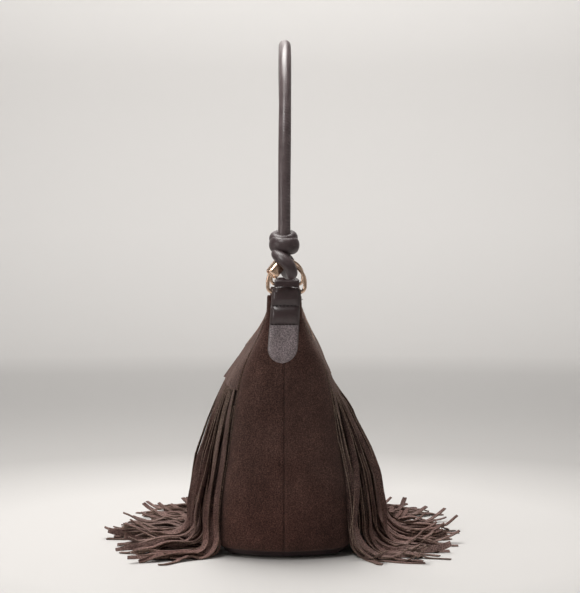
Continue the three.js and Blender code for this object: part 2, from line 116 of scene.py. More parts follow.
@dataclass(frozen=True)
class Studio:
    """A pale sweep all round the bag, soft lights, and a camera level with the bag's shoulder."""

    eye: tuple[float, float, float] = (1.862, 0.006, 0.336)
    tilt: float = math.radians(2.02)
    lens: float = 99.4
    film_width: float = 36.0
    floor_radius: float = 0.9
    wall_radius: float = 3.6
    wall_height: float = 3.2
    cove: float = 0.9
    cove_steps: int = 14
    sides: int = 96
    floor_grey: tuple[float, float, float] = (0.73, 0.715, 0.70)
    daylight: float = 0.17
    daylight_colour: tuple[float, float, float, float] = (1.0, 0.985, 0.965, 1.0)
    soft_boxes: tuple[SoftBox, ...] = (
        SoftBox("top_soft_box", (-0.22, -0.12, 1.45), (0.0, 0.0, 0.2), 0.8, 21.0, 0.4),
        SoftBox("left_soft_box", (1.0, -1.7, 0.62), (0.0, 0.0, 0.35), 0.7, 5.6, 0.5),
        SoftBox("right_soft_box", (1.1, 1.7, 0.7), (0.0, 0.0, 0.4), 0.5, 0.5, 0.2),
        SoftBox("front_soft_box", (0.90, -0.50, 1.60), (0.12, 0.0, 0.28), 0.4, 9.0, 0.3),
        SoftBox("wall_soft_box", (-2.4, 0.0, 2.8), (-3.6, 0.0, 1.7), 2.0, 62.0, 0.2),
    )

    def place_camera(self) -> Object:
        """Makes the camera and gives it to the scene.

        Returns:
            The camera object.
        """
        camera = bpy.data.objects.new("camera", bpy.data.cameras.new("camera"))
        camera.data.lens = self.lens
        camera.data.sensor_width = self.film_width
        camera.location = self.eye
        camera.rotation_euler = (math.pi / 2 - self.tilt, 0.0, math.pi / 2)
        bpy.context.scene.collection.objects.link(camera)
        bpy.context.scene.camera = camera
        return camera

    def lay_floor(self) -> Object:
        """Makes the floor, which curves up into a wall all round.

        Returns:
            The floor object.
        """
        inner = self.wall_radius - self.cove
        profile = [(0.0, 0.0), (self.floor_radius, 0.0)]
        for turn in np.linspace(0.0, math.pi / 2, self.cove_steps)[1:]:
            profile.append((inner + self.cove * math.sin(turn), self.cove - self.cove * math.cos(turn)))
        profile.append((self.wall_radius, self.wall_height))
        points, faces = lathe(profile, self.sides)
        floor = add_mesh("studio_floor", points, faces[:, ::-1], [FloorPaint(self.floor_grey).material()])
        return floor

    def light(self) -> None:
        """Sets the even daylight and hangs the soft boxes."""
        world = bpy.data.worlds.new("daylight")
        world.use_nodes = True
        backdrop = world.node_tree.nodes["Background"]
        backdrop.inputs["Color"].default_value = self.daylight_colour
        backdrop.inputs["Strength"].default_value = self.daylight
        bpy.context.scene.world = world
        for soft_box in self.soft_boxes:
            soft_box.hang()
        bpy.context.scene.view_settings.view_transform = "Standard"


# Meshes from rows of points.


def add_mesh(
    name: str,
    points: Array,
    faces: Sequence[Sequence[int]],
    finishes: Sequence[Material],
    slots: Sequence[int] | None = None,
    crease: float = 50.0,
) -> Object:
    """Makes one smooth-shaded mesh object.

    Args:
        name: the piece's name.
        points: vertices, one row each.
        faces: vertex numbers of each face.
        finishes: the materials, in slot order.
        slots: each face's material slot, or None for the first everywhere.
        crease: edges sharper than this many degrees stay crisp.

    Returns:
        The new object.
    """
    mesh = bpy.data.meshes.new(name)
    mesh.from_pydata(np.asarray(points, float).tolist(), [], [list(map(int, f)) for f in faces])
    for finish in finishes:
        mesh.materials.append(finish)
    if slots is not None:
        mesh.polygons.foreach_set("material_index", np.asarray(slots, dtype=np.int32))
    mesh.update()
    mesh.shade_smooth()
    mesh.set_sharp_from_angle(angle=math.radians(crease))
    piece = bpy.data.objects.new(name, mesh)
    bpy.context.scene.collection.objects.link(piece)
    return piece


@dataclass
class Build:
    """Points and faces gathered for one piece."""

    points: list[Array] = field(default_factory=list)
    faces: list[Array] = field(default_factory=list)
    slots: list[Array] = field(default_factory=list)
    count: int = 0

    def add(self, points: Array, faces: Array, slot: int | Array = 0) -> None:
        """Adds one closed shape.

        Args:
            points: its vertices.
            faces: its four-sided faces, numbered from 0.
            slot: the material slot of all its faces, or one for each face.
        """
        self.points.append(points)
        self.faces.append(np.asarray(faces) + self.count)
        self.slots.append(np.broadcast_to(np.asarray(slot, dtype=np.int32), (len(faces),)))
        self.count += len(points)

    def finish(
        self, name: str, finishes: Sequence[Material], crease: float = 50.0
    ) -> Object:
        """Turns what was gathered into one object.

        Args:
            name: the piece's name.
            finishes: its materials, in slot order.
            crease: edges sharper than this many degrees stay crisp.

        Returns:
            The new object.
        """
        points = np.concatenate(self.points)
        faces = [face for group in self.faces for face in group]
        return add_mesh(name, points, faces, finishes, np.concatenate(self.slots), crease)


def grid_faces(rows: int, columns: int, around: bool = False, ring: bool = False) -> Array:
    """Numbers the four-sided faces of a grid of points.

    Args:
        rows: how many rows of points.
        columns: how many points in a row.
        around: True if each row closes on itself.
        ring: True if the last row joins the first.

    Returns:
        One row of four vertex numbers for each face.
    """
    r = np.arange(rows if ring else rows - 1)
    c = np.arange(columns if around else columns - 1)
    row, column = (part.ravel() for part in np.meshgrid(r, c, indexing="ij"))
    below, beside = (row + 1) % rows, (column + 1) % columns
    here, next_row = row * columns, below * columns
    return np.stack((here + column, here + beside, next_row + beside, next_row + column), axis=1)


def thick_sheet(outer: Array, inner: Array) -> tuple[Array, Array, Array]:
    """Closes two grids of points into a sheet with thickness.

    Args:
        outer: the outer face's points, (rows, columns, 3).
        inner: the inner face's points, in the same order.

    Returns:
        The points, the faces, and 1 for each face on the cut edge and 0 for the others.
    """
    rows, columns = outer.shape[:2]
    size = rows * columns
    face = grid_faces(rows, columns)
    at = np.arange(size).reshape(rows, columns)
    rim = np.concatenate([at[0, :-1], at[:-1, -1], at[-1, :0:-1], at[:0:-1, 0]])
    after = np.roll(rim, -1)
    edge = np.stack([after, rim, rim + size, after + size], axis=1)
    faces = np.concatenate([face, face[:, ::-1] + size, edge])
    cut = np.concatenate([np.zeros(2 * len(face), int), np.ones(len(edge), int)])
    return np.concatenate([outer.reshape(-1, 3), inner.reshape(-1, 3)]), faces, cut


def turned_out(points: Array, faces: Array) -> Array:
    """Turns a closed shape's faces outward.

    Args:
        points: its vertices.
        faces: its four-sided faces.

    Returns:
        The faces, in outward order.
    """
    a, b, c, d = (points[faces[:, k]] for k in range(4))
    volume = (a * np.cross(b, c)).sum() + (a * np.cross(c, d)).sum()
    return faces if volume > 0 else faces[:, ::-1]


def lathe(profile: Sequence[tuple[float, float]], sides: int) -> Pair:
    """Spins a profile about Z.

    Args:
        profile: radius and height of each ring, from one end of the axis to the other.
        sides: how many steps round.

    Returns:
        The points and the four-sided faces.
    """
    turn = np.linspace(0.0, 2 * math.pi, sides, endpoint=False)
    ring = np.stack([np.cos(turn), np.sin(turn), np.zeros(sides)], axis=1)
    radii = np.array([max(r, 1e-6) for r, _ in profile])
    heights = np.array([h for _, h in profile])
    points = ring[None] * radii[:, None, None] + UP * heights[:, None, None]
    return points.reshape(-1, 3), grid_faces(len(profile), sides, around=True)


def unit(vectors: Array) -> Array:
    """Scales vectors to length 1.

    Args:
        vectors: one vector, or rows of them.

    Returns:
        The same vectors at length 1.
    """
    return vectors / np.maximum(np.linalg.norm(vectors, axis=-1, keepdims=True), 1e-12)


def smooth_path(stops: Sequence[Sequence[float]], count: int) -> Array:
    """Runs one smooth line through a few stops, with even steps.

    Args:
        stops: the points that it passes.
        count: how many points to return.

    Returns:
        The points of the line.
    """
    p = np.asarray(stops, float)
    p = np.concatenate([[2 * p[0] - p[1]], p, [2 * p[-1] - p[-2]]])
    fine = []
    for a, b, c, d in zip(p[:-3], p[1:-2], p[2:-1], p[3:]):
        t = np.linspace(0.0, 1.0, STEPS_BETWEEN_STOPS, endpoint=False)[:, None]
        curve = 2 * b + (c - a) * t + (2 * a - 5 * b + 4 * c - d) * t**2
        fine.append(0.5 * (curve + (3 * b - a - 3 * c + d) * t**3))
    line = np.concatenate([*fine, p[-2:-1]])
    return even_steps(line, count)


def distances(line: Array) -> Array:
    """Gives the distance along a line to each of its points."""
    return np.concatenate([[0.0], np.cumsum(np.linalg.norm(np.diff(line, axis=0), axis=1))])


def even_steps(line: Array, count: int) -> Array:
    """Spaces a line's points evenly along it.

    Args:
        line: points along the line.
        count: how many points to return.

    Returns:
        The evenly spaced points.
    """
    along = distances(line)
    wanted = np.linspace(0.0, along[-1], count)
    return np.stack([np.interp(wanted, along, line[:, k]) for k in range(3)], axis=1)


def carried_frames(line: Array, first: Array) -> tuple[Array, Array, Array]:
    """Carries a pair of cross directions along a line without twist.

    Args:
        line: the line's points.
        first: the wanted cross direction at its start.

    Returns:
        The tangents, the carried cross directions, and the directions square to both.
    """
    tangents = unit(np.gradient(line, axis=0))
    side = np.zeros_like(line)
    current = np.asarray(first, float)
    for i, tangent in enumerate(tangents):
        current = unit(current - tangent * current.dot(tangent))
        side[i] = current
    return tangents, side, np.cross(tangents, side)


Section = Callable[[Array, Array], Pair]


def sweep(
    line: Array, side: Array, other: Array, shape: Section, sides: int, ring: bool = False
) -> Pair:
    """Sweeps a section along a line.

    Args:
        line: the line's points.
        side: a cross direction at each point.
        other: the second cross direction at each point.
        shape: gives the section's two coordinates from the share along the line and the angle.
        sides: points round the section.
        ring: True if the line closes on itself.

    Returns:
        The points and faces, with rounded-off ends on an open line.
    """
    angle = np.linspace(0.0, 2 * math.pi, sides, endpoint=False)
    share = np.linspace(0.0, 1.0, len(line), endpoint=not ring)
    u, v = shape(share[:, None], angle[None, :])
    points = line[:, None] + side[:, None] * u[..., None] + other[:, None] * v[..., None]
    if not ring:
        tip = TIP_LENGTH * np.mean(np.hypot(u[0], v[0]))
        ends = []
        for index, inward in ((0, 1), (-1, -2)):
            centre = line[index]
            outward = unit(centre - line[inward])
            ends.append([centre + (points[index] - centre) * k + outward * tip * d for k, d in TIP_ROUNDING])
        points = np.concatenate([np.stack(ends[0][::-1]), points, np.stack(ends[1])])
    faces = grid_faces(len(points), sides, around=True, ring=ring)
    points = points.reshape(-1, 3)
    return points, turned_out(points, faces)


def round_section(radius: float) -> Section:
    """Makes a plain round section.

    Args:
        radius: its radius.

    Returns:
        The section for sweep().
    """
    return lambda share, angle: (radius * np.cos(angle) + 0 * share, radius * np.sin(angle) + 0 * share)


class Ripple:
    """A smooth, seeded unevenness over two coordinates."""

    def __init__(self, seed: int, wave: tuple[float, float], waves: int = 7) -> None:
        """Chooses the waves.

        Args:
            seed: the same number gives the same ripple.
            wave: the typical wavelength along each coordinate.
            waves: how many waves are mixed.
        """
        rng = np.random.default_rng(seed)
        turn = rng.uniform(0.0, 2 * math.pi, waves)
        pace = rng.uniform(0.6, 1.7, waves)
        self.a = 2 * math.pi / wave[0] * pace * np.cos(turn)
        self.b = 2 * math.pi / wave[1] * pace * np.sin(turn)
        self.phase = rng.uniform(0.0, 2 * math.pi, waves)
        self.scale = 1.0 / math.sqrt(waves)

    def __call__(self, u: Array, v: Array) -> Array:
        """Gives the unevenness at some places.

        Args:
            u: the first coordinates.
            v: the second coordinates.

        Returns:
            The unevenness, about -1 to 1.
        """
        u, v = np.broadcast_arrays(np.asarray(u, float), np.asarray(v, float))
        waves = np.sin(u[..., None] * self.a + v[..., None] * self.b + self.phase)
        return waves.sum(-1) * self.scale


# Finishes.

Colour = tuple[float, float, float]
Value = float | Colour | NodeSocket
PLAIN: Colour = (1.0, 1.0, 1.0)


class Paint:
    """Builds one node material."""

    def __init__(self, name: str) -> None:
        """Starts an empty material.

        Args:
            name: the material's name.
        """
        self.made = bpy.data.materials.new(name)
        self.made.use_nodes = True
        self.tree = self.made.node_tree
        self.shader = self.tree.nodes["Principled BSDF"]
        self.place = self.tree.nodes.new("ShaderNodeTexCoord").outputs["Object"]

    def link(self, source: NodeSocket, target: NodeSocket) -> None:
        """Joins two sockets."""
        self.tree.links.new(source, target)

    def set(self, **values: float | Colour) -> None:
        """Sets shader sockets that are the same all over.

        Args:
            values: each socket's value, under its name with _ for a space.
        """
        for name, value in values.items():
            socket = self.shader.inputs[name.replace("_", " ")]
            socket.default_value = (*value, 1.0) if isinstance(value, tuple) else value

    def node(self, kind: str, inputs: dict[str | int, Value], **settings: str) -> Node:
        """Adds a node.

        Args:
            kind: its type, without ShaderNode in front.
            inputs: each input's value, or the socket that feeds it.
            settings: the node's own settings.

        Returns:
            The node.
        """
        node = self.tree.nodes.new("ShaderNode" + kind)
        for name, setting in settings.items():
            setattr(node, name, setting)
        for name, value in inputs.items():
            if isinstance(value, NodeSocket):
                self.link(value, node.inputs[name])
            else:
                node.inputs[name].default_value = value
        return node

    def stretched(self, scale: Colour) -> NodeSocket:
        """Gives the object's coordinates scaled along each axis.

        Args:
            scale: the factor along X, Y and Z.

        Returns:
            The scaled coordinates.
        """
        return self.node("Mapping", {"Scale": scale, "Vector": self.place}).outputs["Vector"]

    def noise(
        self, scale: float, detail: float = 2.0, stretch: Colour = (1.0, 1.0, 1.0), rough: float = 0.5
    ) -> NodeSocket:
        """Adds cloudy noise.

        Args:
            scale: features in a metre.
            detail: how many finer layers are added.
            stretch: how much the pattern is squeezed along each axis.
            rough: the strength of the finer layers.

        Returns:
            The noise, 0 to 1.
        """
        inputs = {"Scale": scale, "Detail": detail, "Roughness": rough, "Vector": self.stretched(stretch)}
        return self.node("TexNoise", inputs).outputs["Fac"]

    def height(self) -> NodeSocket:
        """Gives the height above the floor.

        Returns:
            The height, in metres.
        """
        return self.node("SeparateXYZ", {"Vector": self.place}).outputs["Z"]

    def cells(self, scale: float) -> NodeSocket:
        """Adds rounded cells, as in leather grain.

        Args:
            scale: cells in a metre.

        Returns:
            The distance to each cell's middle.
        """
        inputs = {"Scale": scale, "Smoothness": 0.35, "Vector": self.place}
        return self.node("TexVoronoi", inputs, feature="SMOOTH_F1").outputs["Distance"]

    def threads(self, scale: float, axis: str) -> NodeSocket:
        """Adds parallel threads across an axis, with a little unevenness.

        Args:
            scale: threads in a metre.
            axis: the axis that they are counted along.

        Returns:
            The threads' height, 0 to 1.
        """
        inputs = {"Scale": scale, "Distortion": 1.2, "Detail Scale": 3.0, "Vector": self.place}
        return self.node("TexWave", inputs, bands_direction=axis).outputs["Fac"]

    def ramp(
        self, share: NodeSocket, stops: Sequence[tuple[float, Colour]]
    ) -> NodeSocket:
        """Turns a share into a colour.

        Args:
            share: the value, 0 to 1.
            stops: places and colours, in order.

        Returns:
            The colour.
        """
        node = self.node("ValToRGB", {"Fac": share})
        elements = node.color_ramp.elements
        while len(elements) < len(stops):
            elements.new(0.5)
        for element, (place, colour) in zip(elements, stops):
            element.position = place
            element.color = (*colour, 1.0)
        return node.outputs["Color"]

    def mixed(
        self,
        first: NodeSocket,
        second: NodeSocket,
        share: float | NodeSocket,
        mode: str = "MIX",
    ) -> NodeSocket:
        """Mixes two colours.

        Args:
            first: the lower colour.
            second: the upper colour.
            share: how much of the second shows.
            mode: the blend mode.

        Returns:
            The mixed colour.
        """
        inputs = {"Factor": share, "A": first, "B": second}
        return self.node("Mix", inputs, data_type="RGBA", blend_type=mode).outputs["Result"]

    def maths(
        self, kind: str, first: NodeSocket, second: float | NodeSocket
    ) -> NodeSocket:
        """Combines two values.

        Args:
            kind: the operation.
            first: the first value.
            second: the second value or a number.

        Returns:
            The result.
        """
        return self.node("Math", {0: first, 1: second}, operation=kind).outputs["Value"]

    def ranged(self, value: NodeSocket, low: float, high: float) -> NodeSocket:
        """Spreads a value over a range.

        Args:
            value: the value, 0 to 1.
            low: what 0 becomes.
            high: what 1 becomes.

        Returns:
            The spread value.
        """
        return self.node("MapRange", {"To Min": low, "To Max": high, "Value": value}).outputs["Result"]

    def bump(self, *layers: tuple[NodeSocket, float, float]) -> None:
        """Raises the surface.

        Args:
            layers: a height, a strength and a depth in metres for each layer, coarse after fine.
        """
        below = {}
        for height, strength, depth in layers:
            inputs = {"Strength": strength, "Distance": depth, "Height": height}
            below = {"Normal": self.node("Bump", inputs | below).outputs["Normal"]}
        self.link(below["Normal"], self.shader.inputs["Normal"])

    def colour(self, colour: NodeSocket) -> None:
        """Gives the shader its base colour."""
        self.link(colour, self.shader.inputs["Base Color"])


@dataclass(frozen=True)
class FloorPaint:
    """Matt pale paint on the studio floor, with painted light: full brightness in a pool round the bag, a
    painted darker band farther out, and the sweep painted lighter as it rises into the wall.
    """

    grey: Colour
    # Painted light: full brightness within the pool radius, painted darker by the falloff share out to the
    # far band, lighter again at the wall.
    painted_falloff: float = 0.72
    painted_light_pool: float = 0.36
    dim_from: float = 0.72
    dim_to: float = 2.2
    wall: float = 3.44
    span: float = 4.0
    low_shade: float = 0.86
    high_shade: float = 1.05

    def material(self) -> Material:
        """Makes the material.

        Returns:
            The node material.
        """
        paint = Paint("floor_paint_painted_light")
        distance = paint.node("VectorMath", {0: paint.place}, operation="LENGTH")
        painted_dimmed = tuple(c * self.painted_falloff for c in self.grey)
        # Painted light by distance from the bag: a bright pool, then a painted darker band, then full
        # brightness at the wall.
        reach = paint.maths("MULTIPLY", distance.outputs["Value"], 1 / self.span)
        places = (self.painted_light_pool, self.dim_from, self.dim_to, self.wall)
        tones = (self.grey, painted_dimmed, painted_dimmed, self.grey)
        spread = paint.ramp(reach, [(place / self.span, tone) for place, tone in zip(places, tones)])
        # Painted light by height: the floor painted a little darker and the wall painted lighter as it rises.
        rise = paint.maths("MULTIPLY", paint.height(), 0.5)
        painted_wall_lift = paint.ramp(rise, [(0.0, (self.low_shade,) * 3), (0.5, (self.high_shade,) * 3)])
        paint.colour(paint.mixed(spread, painted_wall_lift, 1.0, "MULTIPLY"))
        paint.set(Roughness=0.75)
        return paint.made


@dataclass(frozen=True)
class Suede:
    """Napped suede: brushed patches, a fine speckle, a soft bloom at the edges, and optional painted light
    that lightens it near the floor.
    """

    name: str
    dark: Colour
    middle: Colour
    light: Colour
    patch: float = 26.0
    speckle: float = 820.0
    bloom: float = 0.18
    # Above 1, the colour near the floor is painted this many times lighter: painted light on strips lying
    # face up.
    painted_floor_light: float = 1.0

    def material(self) -> Material:
        """Makes the material.

        Returns:
            The node material.
        """
        paint = Paint(self.name)
        patches = paint.noise(self.patch, 4.0, (1.0, 1.0, 0.7), 0.62)
        brushed = paint.ramp(patches, [(0.30, self.dark), (0.52, self.middle), (0.74, self.light)])
        fine = paint.noise(self.speckle, 3.0, rough=0.7)
        pits, nap, glints = (0.34, 0.33, 0.33), (0.88, 0.89, 0.89), (1.9, 1.85, 1.8)
        specks = paint.ramp(fine, [(0.33, pits), (0.5, nap), (0.63, glints)])
        shaded = paint.mixed(brushed, specks, 1.0, "MULTIPLY")
        warm = paint.ramp(paint.noise(9.0, 2.0), [(0.35, PLAIN), (0.7, (1.10, 0.93, 0.90))])
        shaded = paint.mixed(shaded, warm, 0.8, "MULTIPLY")
        # Painted light: below about 13 mm the colour is painted up to this many times lighter, fading out by
        # about 42 mm, as on strips lying face up to the light.
        if self.painted_floor_light > 1.0:
            raised = paint.maths("MULTIPLY", paint.height(), 12.0)
            painted_lit_tint = (self.painted_floor_light, self.painted_floor_light * 1.06, self.painted_floor_light * 1.09)
            foot = paint.ramp(raised, [(0.16, painted_lit_tint), (0.5, PLAIN)])
            shaded = paint.mixed(shaded, foot, 1.0, "MULTIPLY")
        paint.colour(shaded)
        paint.set(Roughness=0.96, Specular_IOR_Level=0.12)
        paint.set(Sheen_Weight=self.bloom, Sheen_Roughness=0.55, Sheen_Tint=(0.70, 0.52, 0.45))
        paint.bump((fine, 0.55, 0.5 * MM), (paint.noise(150.0, 3.0), 0.35, 0.7 * MM))
        return paint.made


@dataclass(frozen=True)
class Leather:
    """Smooth dyed leather with a pebbled grain."""

    name: str
    dark: Colour
    light: Colour
    grain: float = 1000.0
    grain_depth: float = 0.10
    shine: float = 0.40
    specular: float = 0.5
    # Share of fine light specks in the colour: painted glints of light off the grain.
    painted_glints: float = 0.0

    def material(self) -> Material:
        """Makes the material.

        Returns:
            The node material.
        """
        paint = Paint(self.name)
        wear = paint.noise(55.0, 4.0, rough=0.6)
        base = paint.ramp(wear, [(0.3, self.dark), (0.72, self.light)])
        pebbles = paint.cells(self.grain)
        valleys = paint.ramp(pebbles, [(0.25, (1.06, 1.06, 1.06)), (0.75, (0.78, 0.76, 0.76))])
        # Fine light and dark specks mixed in by the glint share: painted glints off the grain.
        fine = paint.noise(self.grain * 1.3, 2.0, rough=0.6)
        flecks = paint.ramp(fine, [(0.40, (0.50, 0.49, 0.50)), (0.60, (1.75, 1.75, 1.75))])
        with_painted_glints = paint.mixed(base, flecks, self.painted_glints, "MULTIPLY")
        paint.colour(paint.mixed(with_painted_glints, valleys, 0.7, "MULTIPLY"))
        paint.link(paint.ranged(wear, self.shine - 0.06, self.shine + 0.09), paint.shader.inputs["Roughness"])
        paint.set(Specular_IOR_Level=self.specular)
        raised = paint.maths("SUBTRACT", paint.noise(self.grain * 0.3, 3.0), pebbles)
        paint.bump((raised, 0.5, self.grain_depth * MM), (paint.noise(120.0, 3.0), 0.25, 0.5 * MM))
        return paint.made


@dataclass(frozen=True)
class Metal:
    """Plated metal with faint handling marks."""

    name: str
    colour: Colour
    shine: float

    def material(self) -> Material:
        """Makes the material.

        Returns:
            The node material.
        """
        paint = Paint(self.name)
        marks = paint.noise(260.0, 4.0, (1.0, 1.0, 0.2), 0.7)
        duller = tuple(c * 0.90 for c in self.colour)
        paint.colour(paint.ramp(marks, [(0.35, duller), (0.6, self.colour)]))
        paint.set(Metallic=1.0)
        roughness = paint.ranged(marks, self.shine - 0.04, self.shine + 0.08)
        paint.link(roughness, paint.shader.inputs["Roughness"])
        paint.bump((marks, 0.08, 0.05 * MM))
        return paint.made


@dataclass(frozen=True)
class Weave:
    """Plain woven lining cloth."""

    name: str
    dark: Colour
    light: Colour
    threads: float = 190.0

    def material(self) -> Material:
        """Makes the material.

        Returns:
            The node material.
        """
        paint = Paint(self.name)
        across = paint.threads(self.threads, "X")
        upward = paint.threads(self.threads, "Z")
        woven = paint.maths("MULTIPLY", across, upward)
        shade = paint.mixed(
            paint.ramp(woven, [(0.0, self.dark), (0.8, self.light)]),
            paint.ramp(paint.noise(30.0, 3.0), [(0.3, (0.86, 0.86, 0.86)), (0.7, (1.08, 1.08, 1.08))]),
            1.0,
            "MULTIPLY",
        )
        paint.colour(shade)
        paint.set(Roughness=0.88, Specular_IOR_Level=0.2, Sheen_Weight=0.1)
        paint.bump((woven, 0.6, 0.25 * MM))
        return paint.made


@dataclass(frozen=True)
class Fibreboard:
    """Bonded fibre board."""

    name: str

    def material(self) -> Material:
        """Makes the material.

        Returns:
            The node material.
        """
        paint = Paint(self.name)
        flecks = paint.noise(420.0, 4.0, (1.0, 0.4, 1.0), 0.7)
        paint.colour(paint.ramp(flecks, [(0.3, (0.07, 0.055, 0.042)), (0.7, (0.13, 0.105, 0.08))]))
        paint.set(Roughness=0.85)
        paint.bump((flecks, 0.4, 0.2 * MM))
        return paint.made


@dataclass(frozen=True)
class SewingThread:
    """Twisted sewing thread."""

    name: str
    dark: Colour
    light: Colour

    def material(self) -> Material:
        """Makes the material.

        Returns:
            The node material.
        """
        paint = Paint(self.name)
        twist = paint.noise(2600.0, 1.0)
        paint.colour(paint.ramp(twist, [(0.3, self.dark), (0.7, self.light)]))
        paint.set(Roughness=0.7, Sheen_Weight=0.15)
        paint.bump((twist, 0.5, 0.1 * MM))
        return paint.made


@dataclass(frozen=True)
class Finishes:
    """Every material of the bag, made once."""

    suede: Material
    strip: Material
    cut_edge: Material
    leather: Material
    rolled: Material
    rubbed: Material
    grained: Material
    edge_paint: Material
    gold: Material
    snap: Material
    lining: Material
    board: Material
    thread: Material
    stitch: Material

    @classmethod
    def mixed_up(cls) -> Finishes:
        """Makes all the materials.

        Returns:
            The finishes.
        """
        return cls(
            suede=Suede(
                "suede", (0.040, 0.0205, 0.0172), (0.060, 0.0318, 0.0266), (0.086, 0.0480, 0.0402)
            ).material(),
            # The fringe suede is painted up to 2.1 times lighter near the floor: painted light on the strips
            # lying face up.
            strip=Suede(
                "fringe_suede", (0.053, 0.031, 0.027), (0.080, 0.050, 0.044), (0.118, 0.080, 0.071),
                patch=42.0, bloom=0.11, painted_floor_light=2.1,
            ).material(),
            cut_edge=Suede(
                "cut_edge", (0.12, 0.085, 0.068), (0.17, 0.125, 0.10), (0.22, 0.165, 0.135),
                patch=90.0, speckle=900.0, bloom=0.1,
            ).material(),
            leather=Leather(
                "strap_leather", (0.038, 0.023, 0.024), (0.064, 0.040, 0.042), shine=0.29, specular=0.60
            ).material(),
            rolled=Leather(
                "rolled_leather", (0.048, 0.032, 0.034), (0.086, 0.061, 0.064),
                grain_depth=0.10, shine=0.36, specular=0.48,
            ).material(),
            # A lighter copy of the rolled leather for the handle's arch: painted light where the arch catches
            # more light than the knots.
            rubbed=Leather(
                "rubbed_leather", (0.086, 0.062, 0.064), (0.150, 0.114, 0.118),
                grain_depth=0.12, shine=0.31, specular=0.60,
            ).material(),
            # The tab's lower part: pebbled grain, with colour painted about twice as light as the strap
            # leather and light specks as painted glints, a painted highlight where it catches the light.
            grained=Leather(
                "tab_leather_painted_highlight", (0.145, 0.116, 0.122), (0.215, 0.175, 0.184),
                grain=620.0, grain_depth=0.75, shine=0.42, specular=0.8, painted_glints=0.9,
            ).material(),
            edge_paint=Leather(
                "edge_paint", (0.085, 0.066, 0.064), (0.12, 0.095, 0.092), grain_depth=0.02, shine=0.3
            ).material(),
            gold=Metal("pale_gold", (0.74, 0.53, 0.395), 0.17).material(),
            snap=Metal("snap_metal", (0.62, 0.52, 0.38), 0.30).material(),
            lining=Weave("lining_cloth", (0.10, 0.072, 0.052), (0.27, 0.20, 0.15)).material(),
            board=Fibreboard("fibre_board").material(),
            thread=SewingThread("dark_thread", (0.012, 0.008, 0.008), (0.026, 0.018, 0.017)).material(),
            stitch=SewingThread("seam_thread", (0.045, 0.030, 0.026), (0.095, 0.068, 0.060)).material(),
        )


# The bag's form.


@dataclass(frozen=True)
class Section2D:
    """One level section of the bag: its height and the sizes of its outline."""

    z: float
    half: float
    end: float
    mid: float
    flat: float
    corner: float


class Stations:
    """Places along one half of the bag's outline, from the near seam to the far seam."""

    def __init__(self, flats: int, corners: int, sides: int) -> None:
        """Spaces the places out.

        Args:
            flats: steps on each end's flat.
            corners: steps round each corner.
            sides: steps along the face.
        """
        turn = np.linspace(0.0, math.pi / 2, corners + 1)
        flat = np.linspace(0.0, 1.0, flats, endpoint=False) ** 1.8
        side = np.linspace(1.0, -1.0, sides + 1)[1:-1]
        end = flats + corners + 1
        self.along = np.concatenate([np.ones(end), side, -np.ones(end)])
        near_turn = np.concatenate([np.zeros(flats), turn])
        near_share = np.concatenate([flat, np.ones(corners + 1)])
        middle = np.full(len(side), math.pi / 2)
        self.turn = np.concatenate([near_turn, middle, near_turn[::-1]])
        self.share = np.concatenate([near_share, np.ones(len(side)), near_share[::-1]])


